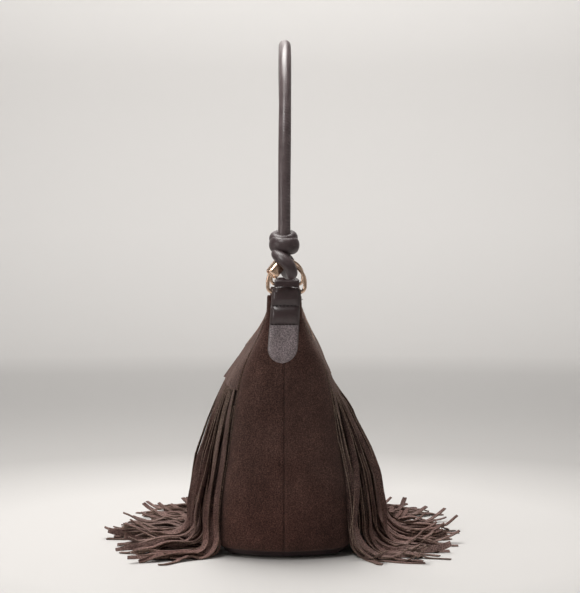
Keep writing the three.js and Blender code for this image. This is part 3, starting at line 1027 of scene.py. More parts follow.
@dataclass
class BagForm:
    """The soft shape that every layer of the bag follows."""

    mouth_low: float = 228 * MM
    mouth_peak: float = 277 * MM
    mouth_curve: float = 2.2
    hem: float = 8.9 * MM
    turn_in_radius: float = 16 * MM
    turn_in_height: float = 3 * MM
    end_swell: float = 6.0 * MM
    end_half: float = 151 * MM
    ridge: float = 4.6 * MM
    seam_dip: float = 2.0 * MM
    slack: float = 1.3 * MM
    flatter_reach: float = 134 * MM
    flatter: tuple[tuple[float, float], ...] = (
        (140, 0.0), (155, 2.0), (177, 9.0), (194, 9.5), (212, 8.5), (228, 6.0), (242, 3.0), (258, 0.0)
    )
    sections: tuple[Section2D, ...] = (
        Section2D(0, 158, 71, 82, 6, 30),
        Section2D(30, 160, 70, 82, 6, 30),
        Section2D(64, 161, 66, 78, 6, 30),
        Section2D(104, 159, 60, 72, 8, 28),
        Section2D(154, 155, 54, 64, 12, 24),
        Section2D(194, 152, 45, 53, 14.5, 18),
        Section2D(212, 152, 37.5, 44, 14.5, 14),
        Section2D(228, 152, 29, 35, 14.5, 11),
        Section2D(242, 152, 23, 29, 14.5, 8),
        Section2D(258, 152, 18.6, 24, 14.5, 5.5),
        Section2D(300, 152, 18, 21, 14.5, 4.2),
    )
    ripple: Ripple = field(default_factory=lambda: Ripple(11, (0.16, 0.11)))
    crease: Ripple = field(default_factory=lambda: Ripple(12, (0.05, 0.09), 9))

    def size(self, name: str, z: Array) -> Array:
        """Gives one size of the outline at any height.

        Args:
            name: the size's name in Section2D.
            z: heights.

        Returns:
            The sizes, in metres.
        """
        heights = np.array([s.z for s in self.sections]) * MM
        values = np.array([getattr(s, name) for s in self.sections]) * MM
        slopes = np.gradient(values, heights)
        slopes[1:-1] = (values[2:] - values[:-2]) / (heights[2:] - heights[:-2])
        i = np.clip(np.searchsorted(heights, z, side="right") - 1, 0, len(heights) - 2)
        span = heights[i + 1] - heights[i]
        t = np.clip((z - heights[i]) / span, 0.0, 1.0)
        ease = 3 * t**2 - 2 * t**3
        bend = (t**3 - 2 * t**2 + t) * slopes[i] + (t**3 - t**2) * slopes[i + 1]
        return values[i] * (1 - ease) + values[i + 1] * ease + span * bend

    def turn_in(self, z: Array) -> Array:
        """Gives how far the suede's lower edge rolls in under the bag at a height."""
        drop = np.clip(self.turn_in_radius + self.turn_in_height - z, 0.0, self.turn_in_radius)
        return self.turn_in_radius - np.sqrt(self.turn_in_radius**2 - drop**2)

    def mouth(self, along: Array) -> Array:
        """Gives the mouth's height along the bag, from 0 in the middle to 1 at the ends."""
        return self.mouth_low + (self.mouth_peak - self.mouth_low) * np.abs(along) ** self.mouth_curve

    def face_depth(self, x: Array, z: Array) -> Array:
        """Gives how far the smooth outer face stands from the middle plane.

        Args:
            x: places along the bag.
            z: heights.

        Returns:
            The depths.
        """
        half, corner, end, mid = (self.size(n, z) for n in ("half", "corner", "end", "mid"))
        along = np.clip(x / (half - corner), -1.0, 1.0)
        return end + (mid - end) * 0.5 * (1 + np.cos(math.pi * along)) - self.turn_in(z)

    def outline(self, z: Array, stations: Stations, inside: float) -> Pair:
        """Gives the outline's X and Y (the back half) at each height and station.

        Args:
            z: heights, (rows, stations).
            stations: the places along the outline.
            inside: how far inside the suede's outer surface.

        Returns:
            X and Y, each (rows, stations).
        """
        inset = inside + self.turn_in(z)
        half = self.size("half", z) - inset
        end = self.size("end", z) - inset
        mid = self.size("mid", z) - inset
        flat = np.minimum(self.size("flat", z), end - 0.2 * MM)
        corner = np.maximum(self.size("corner", z) - inside, 0.4 * MM)
        along, turn, share = stations.along, stations.turn, stations.share
        x = (half - corner * (1 - np.cos(turn))) * along
        bulge = (mid - end) * 0.5 * (1 + np.cos(math.pi * along))
        y = flat * share * (1 - np.sin(turn)) + end * np.sin(turn) + bulge
        return x, y

    def back_gives(self, x: Array, z: Array) -> Array:
        """Gives how much flatter the back face lies than the front one, below the mouth.

        Args:
            x: places along the bag.
            z: heights.

        Returns:
            The differences in depth.
        """
        depth = np.interp(z / MM, [h for h, _ in self.flatter], [d for _, d in self.flatter]) * MM
        along = np.clip(np.abs(x) / self.flatter_reach, 0.0, 1.0)
        return depth * 0.5 * (1 + np.cos(math.pi * along))

    def softened(self, points: Array) -> Array:
        """Moves points as the soft suede lies: swelling ends, a dipped end seam and faint slack.

        Args:
            points: points of any layer, (..., 3).

        Returns:
            The moved points.
        """
        x, y, z = points[..., 0], points[..., 1], points[..., 2]
        endness = np.clip((np.abs(x) / self.end_half - 0.72) / 0.28, 0.0, 1.0) ** 2
        below_tab = 1 / (1 + np.exp((z - 232 * MM) / (7 * MM)))
        above_floor = 0.55 + 0.45 * np.clip(z / (50 * MM), 0.0, 1.0)
        swell = self.end_swell * below_tab * above_floor * (1 - 0.55 * np.clip(np.abs(y) / (60 * MM), 0, 1))
        dip = self.seam_dip * np.exp(-np.abs(y) / (1.5 * MM)) * below_tab
        swell = swell + self.ridge * np.clip(1 - np.abs(y) / (48 * MM), 0.0, 1.0) * below_tab * above_floor
        slack = self.slack * self.ripple(x * 0.6 + y, z) + 0.45 * MM * self.crease(y + 0.3 * x, z)
        quiet = np.clip((265 * MM - z) / (60 * MM), 0.0, 1.0) * np.clip(z / (40 * MM), 0.0, 1.0)
        moved = points.copy()
        moved[..., 0] += np.sign(x) * endness * (swell - dip + slack * quiet)
        moved[..., 1] += np.sign(y) * (1 - endness) * slack * quiet * np.clip(np.abs(y) / (20 * MM), 0, 1)
        return moved

    def wall(
        self,
        levels: Array,
        stations: Stations,
        inside: float,
        drop: float = 0.0,
        face: Face = Face.FRONT,
    ) -> Array:
        """Gives points of one layer of half of the bag, on the +Y side whichever face they are for.

        Args:
            levels: shares of the height from hem to mouth.
            stations: the places along the outline.
            inside: how far inside the suede's outer surface.
            drop: how far the top stays under the mouth's edge.
            face: the face that they are for.

        Returns:
            The points, (levels, stations, 3).
        """
        top = self.mouth(stations.along) - drop
        z = self.hem + (top - self.hem)[None, :] * np.asarray(levels)[:, None]
        x, y = self.outline(z, stations, inside)
        if face is Face.BACK:
            y = y - self.back_gives(x, z) * np.sin(stations.turn)
        return self.softened(np.stack([x, y, z], axis=-1))


def faced(points: Array, face: Face) -> Array:
    """Puts points of the back half on the wanted face."""
    return points * np.array([1.0, float(face.value), 1.0])


def ended(points: Array, end: End) -> Array:
    """Puts points of the near end on the wanted end."""
    return points * np.array([float(end.value), 1.0, 1.0])


def stand_in(piece: Object, body: str, node: str) -> Object:
    """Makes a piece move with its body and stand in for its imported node.

    Args:
        piece: the finished piece.
        body: the body that it moves with.
        node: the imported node.

    Returns:
        The piece.
    """
    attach(piece, body)
    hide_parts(node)
    return piece


# Stitching.


@dataclass
class StitchRow:
    """A row of running stitches laid along a line on a surface."""

    pitch: float = 3.4 * MM
    length: float = 2.5 * MM
    radius: float = 0.32 * MM
    sink: float = 0.12 * MM

    def lay(self, build: Build, line: Array, outward: Array, slot: int) -> None:
        """Adds the row's stitches.

        Args:
            build: the piece that the stitches are part of.
            line: points along the surface.
            outward: the surface's outward direction at each point.
            slot: the thread's material slot.
        """
        along = distances(line)
        count = int(along[-1] // self.pitch)
        for k in range(count):
            start = (k + 0.5) * self.pitch - self.length / 2
            at = start + np.linspace(0.0, self.length, 5)
            centre = np.stack([np.interp(at, along, line[:, j]) for j in range(3)], axis=1)
            normal = unit(np.stack([np.interp(at, along, outward[:, j]) for j in range(3)], axis=1))
            lift = self.radius * np.array([-1.2, 0.45, 0.8, 0.45, -1.2]) - self.sink
            centre = centre + normal * lift[:, None]
            tangent = unit(np.gradient(centre, axis=0))
            side = unit(np.cross(tangent, normal))
            points, faces = sweep(centre, side, np.cross(tangent, side), round_section(self.radius), 6)
            build.add(points, faces, slot)


# Body, base and inside.


@dataclass
class Body:
    """The two suede panels, the leather base and everything inside the bag."""

    form: BagForm
    finishes: Finishes
    suede: float = 2.0 * MM
    gap: float = 0.3 * MM
    facing: float = 1.0 * MM
    lining: float = 0.8 * MM
    facing_from: float = 0.88
    facing_row: float = 0.895
    mouth_row: float = 0.972
    tab_clear: float = 15.5 * MM

    def panel(self, face: Face, name: str) -> Object:
        """Makes one suede panel, from the end seams round one face.

        Args:
            face: the face that it covers.
            name: the piece's name.

        Returns:
            The panel, riding on the bag.
        """
        stations = Stations(7, 9, 88)
        levels = 1 - (1 - np.linspace(0.0, 1.0, 96)) ** 1.08
        seam_gap = np.array([0.0, 0.15 * MM, 0.0])
        outer = self.form.wall(levels, stations, 0.0, face=face) + seam_gap
        inner = self.form.wall(levels, stations, self.suede, face=face) + seam_gap
        edge = np.minimum(1 - levels, levels)[:, None]
        rounding = 0.7 * MM * np.clip(1 - edge / 0.006, 0.0, 1.0)
        outer = outer + (inner - outer) * (rounding / self.suede)[..., None]
        points, faces, cut = thick_sheet(faced(outer, face), faced(inner, face))
        build = Build()
        build.add(points, turned_out(points, faces), cut)
        self.stitch_mouth(build, face)
        piece = build.finish(name, [self.finishes.suede, self.finishes.suede, self.finishes.stitch])
        return stand_in(piece, "bag", f"{face.name.lower()}_panel")

    def stitch_mouth(self, build: Build, face: Face) -> None:
        """Sews the facing in, a little under the mouth's edge.

        Args:
            build: the panel's build.
            face: the panel's face.
        """
        stations = Stations(4, 10, 120)
        level = np.array([self.mouth_row])
        line = self.form.wall(level, stations, 0.0, face=face)[0]
        inside = self.form.wall(level, stations, 1.0 * MM, face=face)[0]
        clear = np.abs(line[:, 1]) > self.tab_clear
        outward = unit(line - inside)
        StitchRow().lay(build, faced(line[clear], face), faced(outward[clear], face), 2)

    def base(self) -> Object:
        """Makes the leather base, a shallow tray whose rim meets the suede.

        Returns:
            The base, riding on the bag.
        """
        stations = Stations(5, 9, 60)
        rim = self.form.hem - self.gap
        rim_in = float(self.form.turn_in(np.array(rim))) + 0.6 * MM
        edge = rim_in / MM
        rows = [
            (0.0, 32), (0.0, 22), (0.25 * MM, 16), (1.4 * MM, 11.0), (4.2 * MM, edge + 2.4),
            (rim - 1.2 * MM, edge + 1.2), (rim - 0.3 * MM, edge + 0.15), (rim, edge + 0.7),
            (rim, edge + 1.9), (4.8 * MM, edge + 6), (2.2 * MM, 20), (2.2 * MM, 32),
        ]
        loops = []
        for height, pulled in rows:
            z = np.full(len(stations.along), self.form.turn_in_radius + self.form.turn_in_height)
            x, y = self.form.outline(z[None, :], stations, 0.0)
            shrink = pulled * MM
            x = x - np.sign(x) * shrink
            y = y - shrink * np.clip(y / (20 * MM), 0.0, 1.0)
            half = np.stack([x[0], y[0], np.full_like(x[0], height)], axis=1)
            loops.append(np.concatenate([half, faced(half, Face.FRONT)[-2:0:-1]]))
        loops = np.stack(loops)
        inward = [loops[0] * np.array([k, k, 1.0]) for k in (TO_A_POINT, 0.5)]
        upward = [loops[-1] * np.array([k, k, 1.0]) for k in (0.5, TO_A_POINT)]
        loops = np.concatenate([np.stack(inward), loops, np.stack(upward)])
        faces = grid_faces(len(loops), loops.shape[1], around=True)
        points = loops.reshape(-1, 3)
        piece = add_mesh("base_leather", points, turned_out(points, faces), [self.finishes.leather])
        return stand_in(piece, "bag", "leather_base")

    def ring_of_wall(
        self, levels: Array, stations: Stations, inside: float, drop: float = 0.0
    ) -> Array:
        """Gives one layer all the way round the bag.

        Args:
            levels: shares of the height from hem to mouth.
            stations: the places along the back half.
            inside: how far inside the suede's outer surface.
            drop: how far the top stays under the mouth's edge.

        Returns:
            The points, (levels, places, 3).
        """
        back = self.form.wall(levels, stations, inside, drop, Face.BACK)
        front = faced(self.form.wall(levels, stations, inside, drop), Face.FRONT)[:, -2:0:-1]
        return np.concatenate([back, front], axis=1)

    def mouth_facing(self) -> Object:
        """Makes the suede band inside the mouth, with its row of stitches.

        Returns:
            The band, riding on the bag.
        """
        stations = Stations(4, 7, 72)
        levels = np.linspace(self.facing_from, 1.0, 12)
        depth = self.suede + self.gap
        outer = self.ring_of_wall(levels, stations, depth)
        inner = self.ring_of_wall(levels, stations, depth + self.facing)
        loops = np.concatenate([outer, inner[::-1]])
        points = loops.reshape(-1, 3)
        faces = grid_faces(len(loops), loops.shape[1], around=True, ring=True)
        build = Build()
        build.add(points, turned_out(points, faces))
        for level in (self.facing_row, self.mouth_row):
            row = Stations(4, 10, 120)
            line = self.ring_of_wall(np.array([level]), row, depth + self.facing)[0]
            deeper = self.ring_of_wall(np.array([level]), row, depth + self.facing + 1.0 * MM)[0]
            StitchRow().lay(build, line, unit(deeper - line), 1)
        piece = build.finish("mouth_band", [self.finishes.suede, self.finishes.stitch])
        return stand_in(piece, "bag", "mouth_facing")

    def lining_bag(self) -> Object:
        """Makes the cloth lining, a bag within the bag.

        Returns:
            The lining, riding on the bag.
        """
        stations = Stations(4, 7, 72)
        levels = np.linspace(0.03, self.facing_from, 40)
        depth = self.suede + self.gap
        folds = Ripple(21, (0.07, 0.10), 9)
        shells = []
        for inside, lift in ((depth, 0.0), (depth + self.lining, self.lining)):
            wall = self.ring_of_wall(levels, stations, inside, 0.3 * MM)
            height = wall[..., 2]
            slack = 0.9 * MM * (1 + folds(wall[..., 0] + 2 * wall[..., 1], height))
            slack = slack * np.clip((levels * (0.86 - levels) * 6)[:, None], 0.0, 1.0)
            away = unit(wall * np.array([1.0, 1.0, 0.0]))
            wall = wall - away * slack[..., None]
            floor = wall[0] * np.array([0.86, 0.62, 0.0]) + UP * (4.8 * MM + lift)
            shrunk = [floor * np.array([k, k, 1.0]) for k in (TO_A_POINT, 0.35, 0.7)]
            shells.append(np.concatenate([np.stack([*shrunk, floor]), wall]))
        loops = np.concatenate([shells[0], shells[1][::-1]])
        points = loops.reshape(-1, 3)
        faces = grid_faces(len(loops), loops.shape[1], around=True)
        piece = add_mesh("lining_cloth", points, turned_out(points, faces), [self.finishes.lining])
        return stand_in(piece, "bag", "lining")

    def slip_pocket(self) -> Object:
        """Makes the flat pocket on the back of the lining, with a turned hem and stitched edges.

        Returns:
            The pocket, riding on the bag.
        """
        half, bottom, top = 66 * MM, 74 * MM, 160 * MM
        inside = self.suede + self.lining + 2 * self.gap + 2.4 * MM
        across = np.linspace(1.0, -1.0, 44)
        up = np.linspace(0.0, 1.0, 30)
        x, z = np.meshgrid(half * across, bottom + (top - bottom) * up)
        slack = 1.5 * MM * np.clip(np.sin(math.pi * up) * 1.2, 0, 1)[:, None] * (1 - across**4)[None, :]
        hem = 0.5 * MM * (up > 0.88)[:, None]
        outer = np.stack([x, self.form.face_depth(x, z) - self.form.back_gives(x, z) - inside, z], axis=-1)
        inner = outer - ACROSS * (0.8 * MM + slack + hem)[..., None]
        points, faces, _ = thick_sheet(outer, inner)
        build = Build()
        build.add(points, turned_out(points, faces))
        rows = [inner[:, 1], inner[::-1, -2], inner[1, ::-1], inner[-4], inner[-2]]
        for line in rows:
            StitchRow(pitch=3.0 * MM, length=2.1 * MM).lay(build, line, np.tile(-ACROSS, (len(line), 1)), 1)
        piece = build.finish("pocket_cloth", [self.finishes.lining, self.finishes.stitch])
        return stand_in(piece, "bag", "slip_pocket")

    def snap_half(
        self, face: Face, profile: Sequence[tuple[float, float]], name: str, node: str
    ) -> Object:
        """Makes one half of the magnetic snap on the facing.

        Args:
            face: the face of the bag that it sits on.
            profile: its turned shape, in millimetres from the cloth.
            name: the piece's name.
            node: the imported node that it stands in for.

        Returns:
            The snap half, riding on the bag.
        """
        height = 214 * MM
        inside = self.suede + self.facing + 2 * self.gap
        heights = np.array([height - 7 * MM, height, height + 7 * MM])
        y = self.form.face_depth(np.zeros(3), heights) - inside
        if face is Face.BACK:
            y = y - self.form.back_gives(np.zeros(3), heights)
        up = Vector((0.0, y[2] - y[0], 14 * MM)).normalized()
        normal = Vector((0.0, -up.z, up.y))
        points, faces = lathe([(r * MM, h * MM) for r, h in profile], 48)
        turn = normal.to_track_quat("Z", "Y").to_matrix()
        points = points @ np.array(turn).T + np.array([0.0, y[1], height]) + np.array(normal) * 0.5 * MM
        points = faced(points, face)
        piece = add_mesh(name, points, turned_out(points, faces), [self.finishes.snap], crease=35)
        return stand_in(piece, "bag", node)

    def snap(self) -> list[Object]:
        """Makes the snap's socket and stud.

        Returns:
            The two halves.
        """
        socket = [
            (0, 0), (6.6, 0), (7, 0.4), (7, 2.1), (6.6, 2.6),
            (3.9, 2.6), (3.5, 2.2), (3.5, 0.9), (0, 0.9),
        ]
        stud = [
            (0, 0), (6.7, 0), (7, 0.3), (7, 1.1), (6.7, 1.4),
            (3.1, 1.4), (3, 1.6), (3, 2.6), (2.6, 3), (0, 3),
        ]
        return [
            self.snap_half(Face.BACK, socket, "snap_socket_cup", "snap_socket"),
            self.snap_half(Face.FRONT, stud, "snap_stud_button", "snap_stud"),
        ]

    def board(self) -> Object:
        """Makes the stiffening board under the lining, with rounded corners and softened edges.

        Returns:
            The board, riding on the bag.
        """
        length, depth, corner, low, high = 244 * MM, 76 * MM, 22 * MM, 2.5 * MM, 4.5 * MM
        soft, steps = 0.4 * MM, 96
        turn = np.linspace(0.0, 2 * math.pi, steps, endpoint=False)
        across = np.sign(np.cos(turn)) * (length / 2 - corner)
        deep = np.sign(np.sin(turn)) * (depth / 2 - corner)
        middle = np.stack([across * 0.01, deep * 0.01], axis=1)
        loops = [middle]
        for pulled in (soft, 0.0, 0.0, soft):
            radius = corner - pulled
            loops.append(np.stack([across + radius * np.cos(turn), deep + radius * np.sin(turn)], axis=1))
        loops.append(middle)
        heights = (low, low, low + soft, high - soft, high, high)
        points = np.concatenate([
            np.column_stack([loop, np.full(steps, height)]) for loop, height in zip(loops, heights)
        ])
        faces = turned_out(points, grid_faces(len(loops), steps, around=True))
        piece = add_mesh("stiffening_board", points, faces, [self.finishes.board], crease=30)
        return stand_in(piece, "bag", "base_stiffener")


# Tabs and rings.


@dataclass
class Tab:
    """The leather strap folded over a ring's bar and stitched to the end of the bag."""

    end: End
    finishes: Finishes
    bar_x: float = RING_BAR_X
    bar_height: float = RING_BAR_HEIGHT
    fold: float = 3.0 * MM
    ply: float = 1.6 * MM
    width_top: float = 30.5 * MM
    width_foot: float = 32.0 * MM
    foot: float = 206.5 * MM
    inner_foot: float = 240 * MM
    rows_at: tuple[float, float] = (266 * MM, 246.5 * MM)
    lean_top: float = 2.2 * MM
    lean_foot: float = -2.4 * MM
    steps: int = 190

    def outward(self, z: Array) -> Array:
        """Gives how far the hanging ply's middle stands from the bar.

        Args:
            z: heights.

        Returns:
            The distances.
        """
        rests = self.fold + 8.2 * MM / (1 + np.exp((z - 230 * MM) / (9 * MM)))
        lift = 1.3 * MM * np.clip((z - 246 * MM) / (30 * MM), 0, 1)
        return rests + lift * np.clip((284 * MM - z) / (10 * MM), 0, 1)

    def profile(self) -> Array:
        """Gives the middle line of the strap, from its inner end up over the bar and down to its foot.

        Returns:
            Points (x, 0, z) with even steps.
        """
        inside = np.linspace(self.inner_foot, self.bar_height, 30)
        inner = np.stack([np.full(30, self.bar_x - self.fold), np.zeros(30), inside], axis=1)
        turn = np.linspace(math.pi, 0.0, 30)[1:-1]
        round_bar = np.stack([
            self.bar_x + self.fold * np.cos(turn), 0 * turn, self.bar_height + self.fold * np.sin(turn)
        ], axis=1)
        outside = np.linspace(self.bar_height, self.foot, 90)
        outer = np.stack([self.bar_x + self.outward(outside), np.zeros(90), outside], axis=1)
        return even_steps(np.concatenate([inner, round_bar, outer]), self.steps)

    def puff(self, z: Array, hanging: Array) -> Array:
        """Gives the padding between the stitch rows.

        Args:
            z: heights.
            hanging: 1 on the outer ply and 0 on the inner one.

        Returns:
            How far the outer surface is raised.
        """
        high, low = self.rows_at
        between = np.clip((z - low) * (high - z) / ((high - low) / 2) ** 2, 0.0, 1.0) ** 0.75
        above = np.clip((z - high) / (7 * MM), 0.0, 1.0) ** 0.6
        below = np.clip((low - z) / (5 * MM), 0.0, 1.0) ** 0.6
        return hanging * (4.4 * MM * between + 3.2 * MM * above + 1.1 * MM * below)

    def make(self, name: str, node: str) -> Object:
        """Makes the tab with its stitches.

        Args:
            name: the piece's name.
            node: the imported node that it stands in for.

        Returns:
            The tab, riding on the bag.
        """
        path = self.profile()
        normal = unit(np.cross(unit(np.gradient(path, axis=0)), ACROSS))
        hanging = np.clip((path[:, 0] - self.bar_x) / (1.5 * MM), 0.0, 1.0)
        z = path[:, 2]
        share = np.clip((self.bar_height - z) / (self.bar_height - self.foot), 0.0, 1.0) * hanging
        half = (self.width_top + (self.width_foot - self.width_top) * share) / 2
        radius = self.width_foot / 2
        drop = np.clip((self.foot + radius - z) / radius, 0.0, 1.0) * (hanging > 0.5)
        half = np.maximum(half * np.sqrt(np.clip(1 - drop**2, 0.0, 1.0)), 1.2 * MM)
        centre = self.lean_top + (self.lean_foot - self.lean_top) * share
        across = np.sin(np.linspace(-math.pi / 2, math.pi / 2, 45))
        y = centre[:, None] + half[:, None] * across[None, :]
        edge_round = (1 - np.abs(across) ** 9)[None, :]
        step = np.arange(self.steps)
        end_round = np.clip(np.minimum(step, step[::-1]) / 2.0, 0.3, 1.0)[:, None]
        raised = self.puff(z, hanging)[:, None] * (1 - across**8)[None, :] ** 0.6
        level = 0.25 * MM * Ripple(31 + self.end.value, (0.03, 0.02))(y, z[:, None])
        thick = self.ply / 2 * edge_round * end_round
        top = (thick + (raised + level * hanging[:, None]) * edge_round)[..., None] * normal[:, None]
        bottom = thick[..., None] * normal[:, None]
        x = np.broadcast_to(path[:, :1], y.shape)
        middle = np.stack([x, y, np.broadcast_to(z[:, None], y.shape)], axis=-1)
        outer, inner = middle + top, middle - bottom
        points, faces, _ = thick_sheet(outer, inner)
        rows, columns = np.divmod(grid_faces(*y.shape)[:, 0], y.shape[1])
        painted = (columns <= 4) | (columns >= y.shape[1] - 6)
        # The lower hanging part takes the lighter grained copy of the leather: real pebbled grain with a
        # painted highlight.
        painted_lit_low_part = (z[rows] < self.rows_at[1]) & (hanging[rows] > 0.5)
        skin = np.where(painted, 2, np.where(painted_lit_low_part, 1, 0))
        slots = np.concatenate([skin, skin, np.full(len(faces) - 2 * len(skin), 2)])
        build = Build()
        build.add(ended(points, self.end), turned_out(ended(points, self.end), faces), slots)
        for row in self.rows_at:
            i = int(np.argmin(np.abs(z - row) + (1 - hanging)))
            line = outer[i, 4:-4]
            facing = np.tile(normal[i], (len(line), 1))
            StitchRow(3.8 * MM, 2.6 * MM, 0.60 * MM, -0.12 * MM).lay(
                build, ended(line, self.end), ended(facing, self.end), 3
            )
        self.loose_thread(build)
        skins = [self.finishes.leather, self.finishes.grained, self.finishes.edge_paint, self.finishes.thread]
        piece = build.finish(name, skins, crease=60)
        return stand_in(piece, "bag", node)

    def loose_thread(self, build: Build) -> None:
        """Adds the knotted thread end at the side of the tab.

        Args:
            build: the tab's build.
        """
        side = 1.0 if self.end is End.NEAR else -1.0
        x = self.bar_x + 3.4 * MM
        stops = [
            (x, side * 15.4 * MM, 272.2 * MM),
            (x + 0.6 * MM, side * 17.0 * MM, 273.4 * MM),
            (x + 0.3 * MM, side * 18.2 * MM, 272.6 * MM),
            (x, side * 19.4 * MM, 273.0 * MM),
        ]
        line = ended(smooth_path(stops, 14), self.end)
        _, across, up = carried_frames(line, UP)
        points, faces = sweep(line, across, up, round_section(0.3 * MM), 6)
        build.add(points, faces, 3)


@dataclass
class RingShape:
    """A D-ring of round wire, upright in the plane across the bag."""

    end: End
    finishes: Finishes
    bar_x: float = RING_BAR_X
    bar_height: float = RING_BAR_HEIGHT
    wire: float = 1.95 * MM
    half_width: float = 19.4 * MM
    corner: float = 6 * MM
    straight: float = 10 * MM
    shift: float = 2.2 * MM

    @staticmethod
    def arc(centre: tuple[float, float], radius: float, turns: Array) -> list[tuple[float, float]]:
        """Gives points of one arc of the wire's line.

        Args:
            centre: its middle, across the bag and up from the bar.
            radius: its radius.
            turns: the angles of the points.

        Returns:
            The points, across the bag and up from the bar.
        """
        return [(centre[0] + radius * math.cos(t), centre[1] + radius * math.sin(t)) for t in turns]

    def line(self) -> Array:
        """Gives the wire's closed middle line, with even steps.

        Returns:
            The points, without the repeated last one.
        """
        quarter = math.pi / 2
        inner = self.half_width - self.corner
        flat = [(0.0, 0.0)]
        flat += self.arc((inner, self.corner), self.corner, np.linspace(-quarter, 0.0, 14))
        flat += self.arc((0.0, self.straight), self.half_width, np.linspace(0.0, math.pi, 72))
        flat += self.arc((-inner, self.corner), self.corner, np.linspace(math.pi, 3 * quarter, 14))
        flat += [(0.0, 0.0)]
        points = np.array([(self.bar_x, y + self.shift, self.bar_height + z) for y, z in flat])
        return even_steps(points, 181)[:-1]

    def make(self, name: str, node: str, body: str) -> Object:
        """Makes the ring.

        Args:
            name: the piece's name.
            node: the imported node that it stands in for.
            body: the body that it moves with.

        Returns:
            The ring.
        """
        line = self.line()
        tangent = unit(np.roll(line, -1, axis=0) - np.roll(line, 1, axis=0))
        side = np.tile(ALONG, (len(line), 1))
        points, faces = sweep(line, side, np.cross(tangent, side), round_section(self.wire), 28, ring=True)
        points = ended(points, self.end)
        piece = add_mesh(name, points, turned_out(points, faces), [self.finishes.gold])
        return stand_in(piece, body, node)


# Handle.


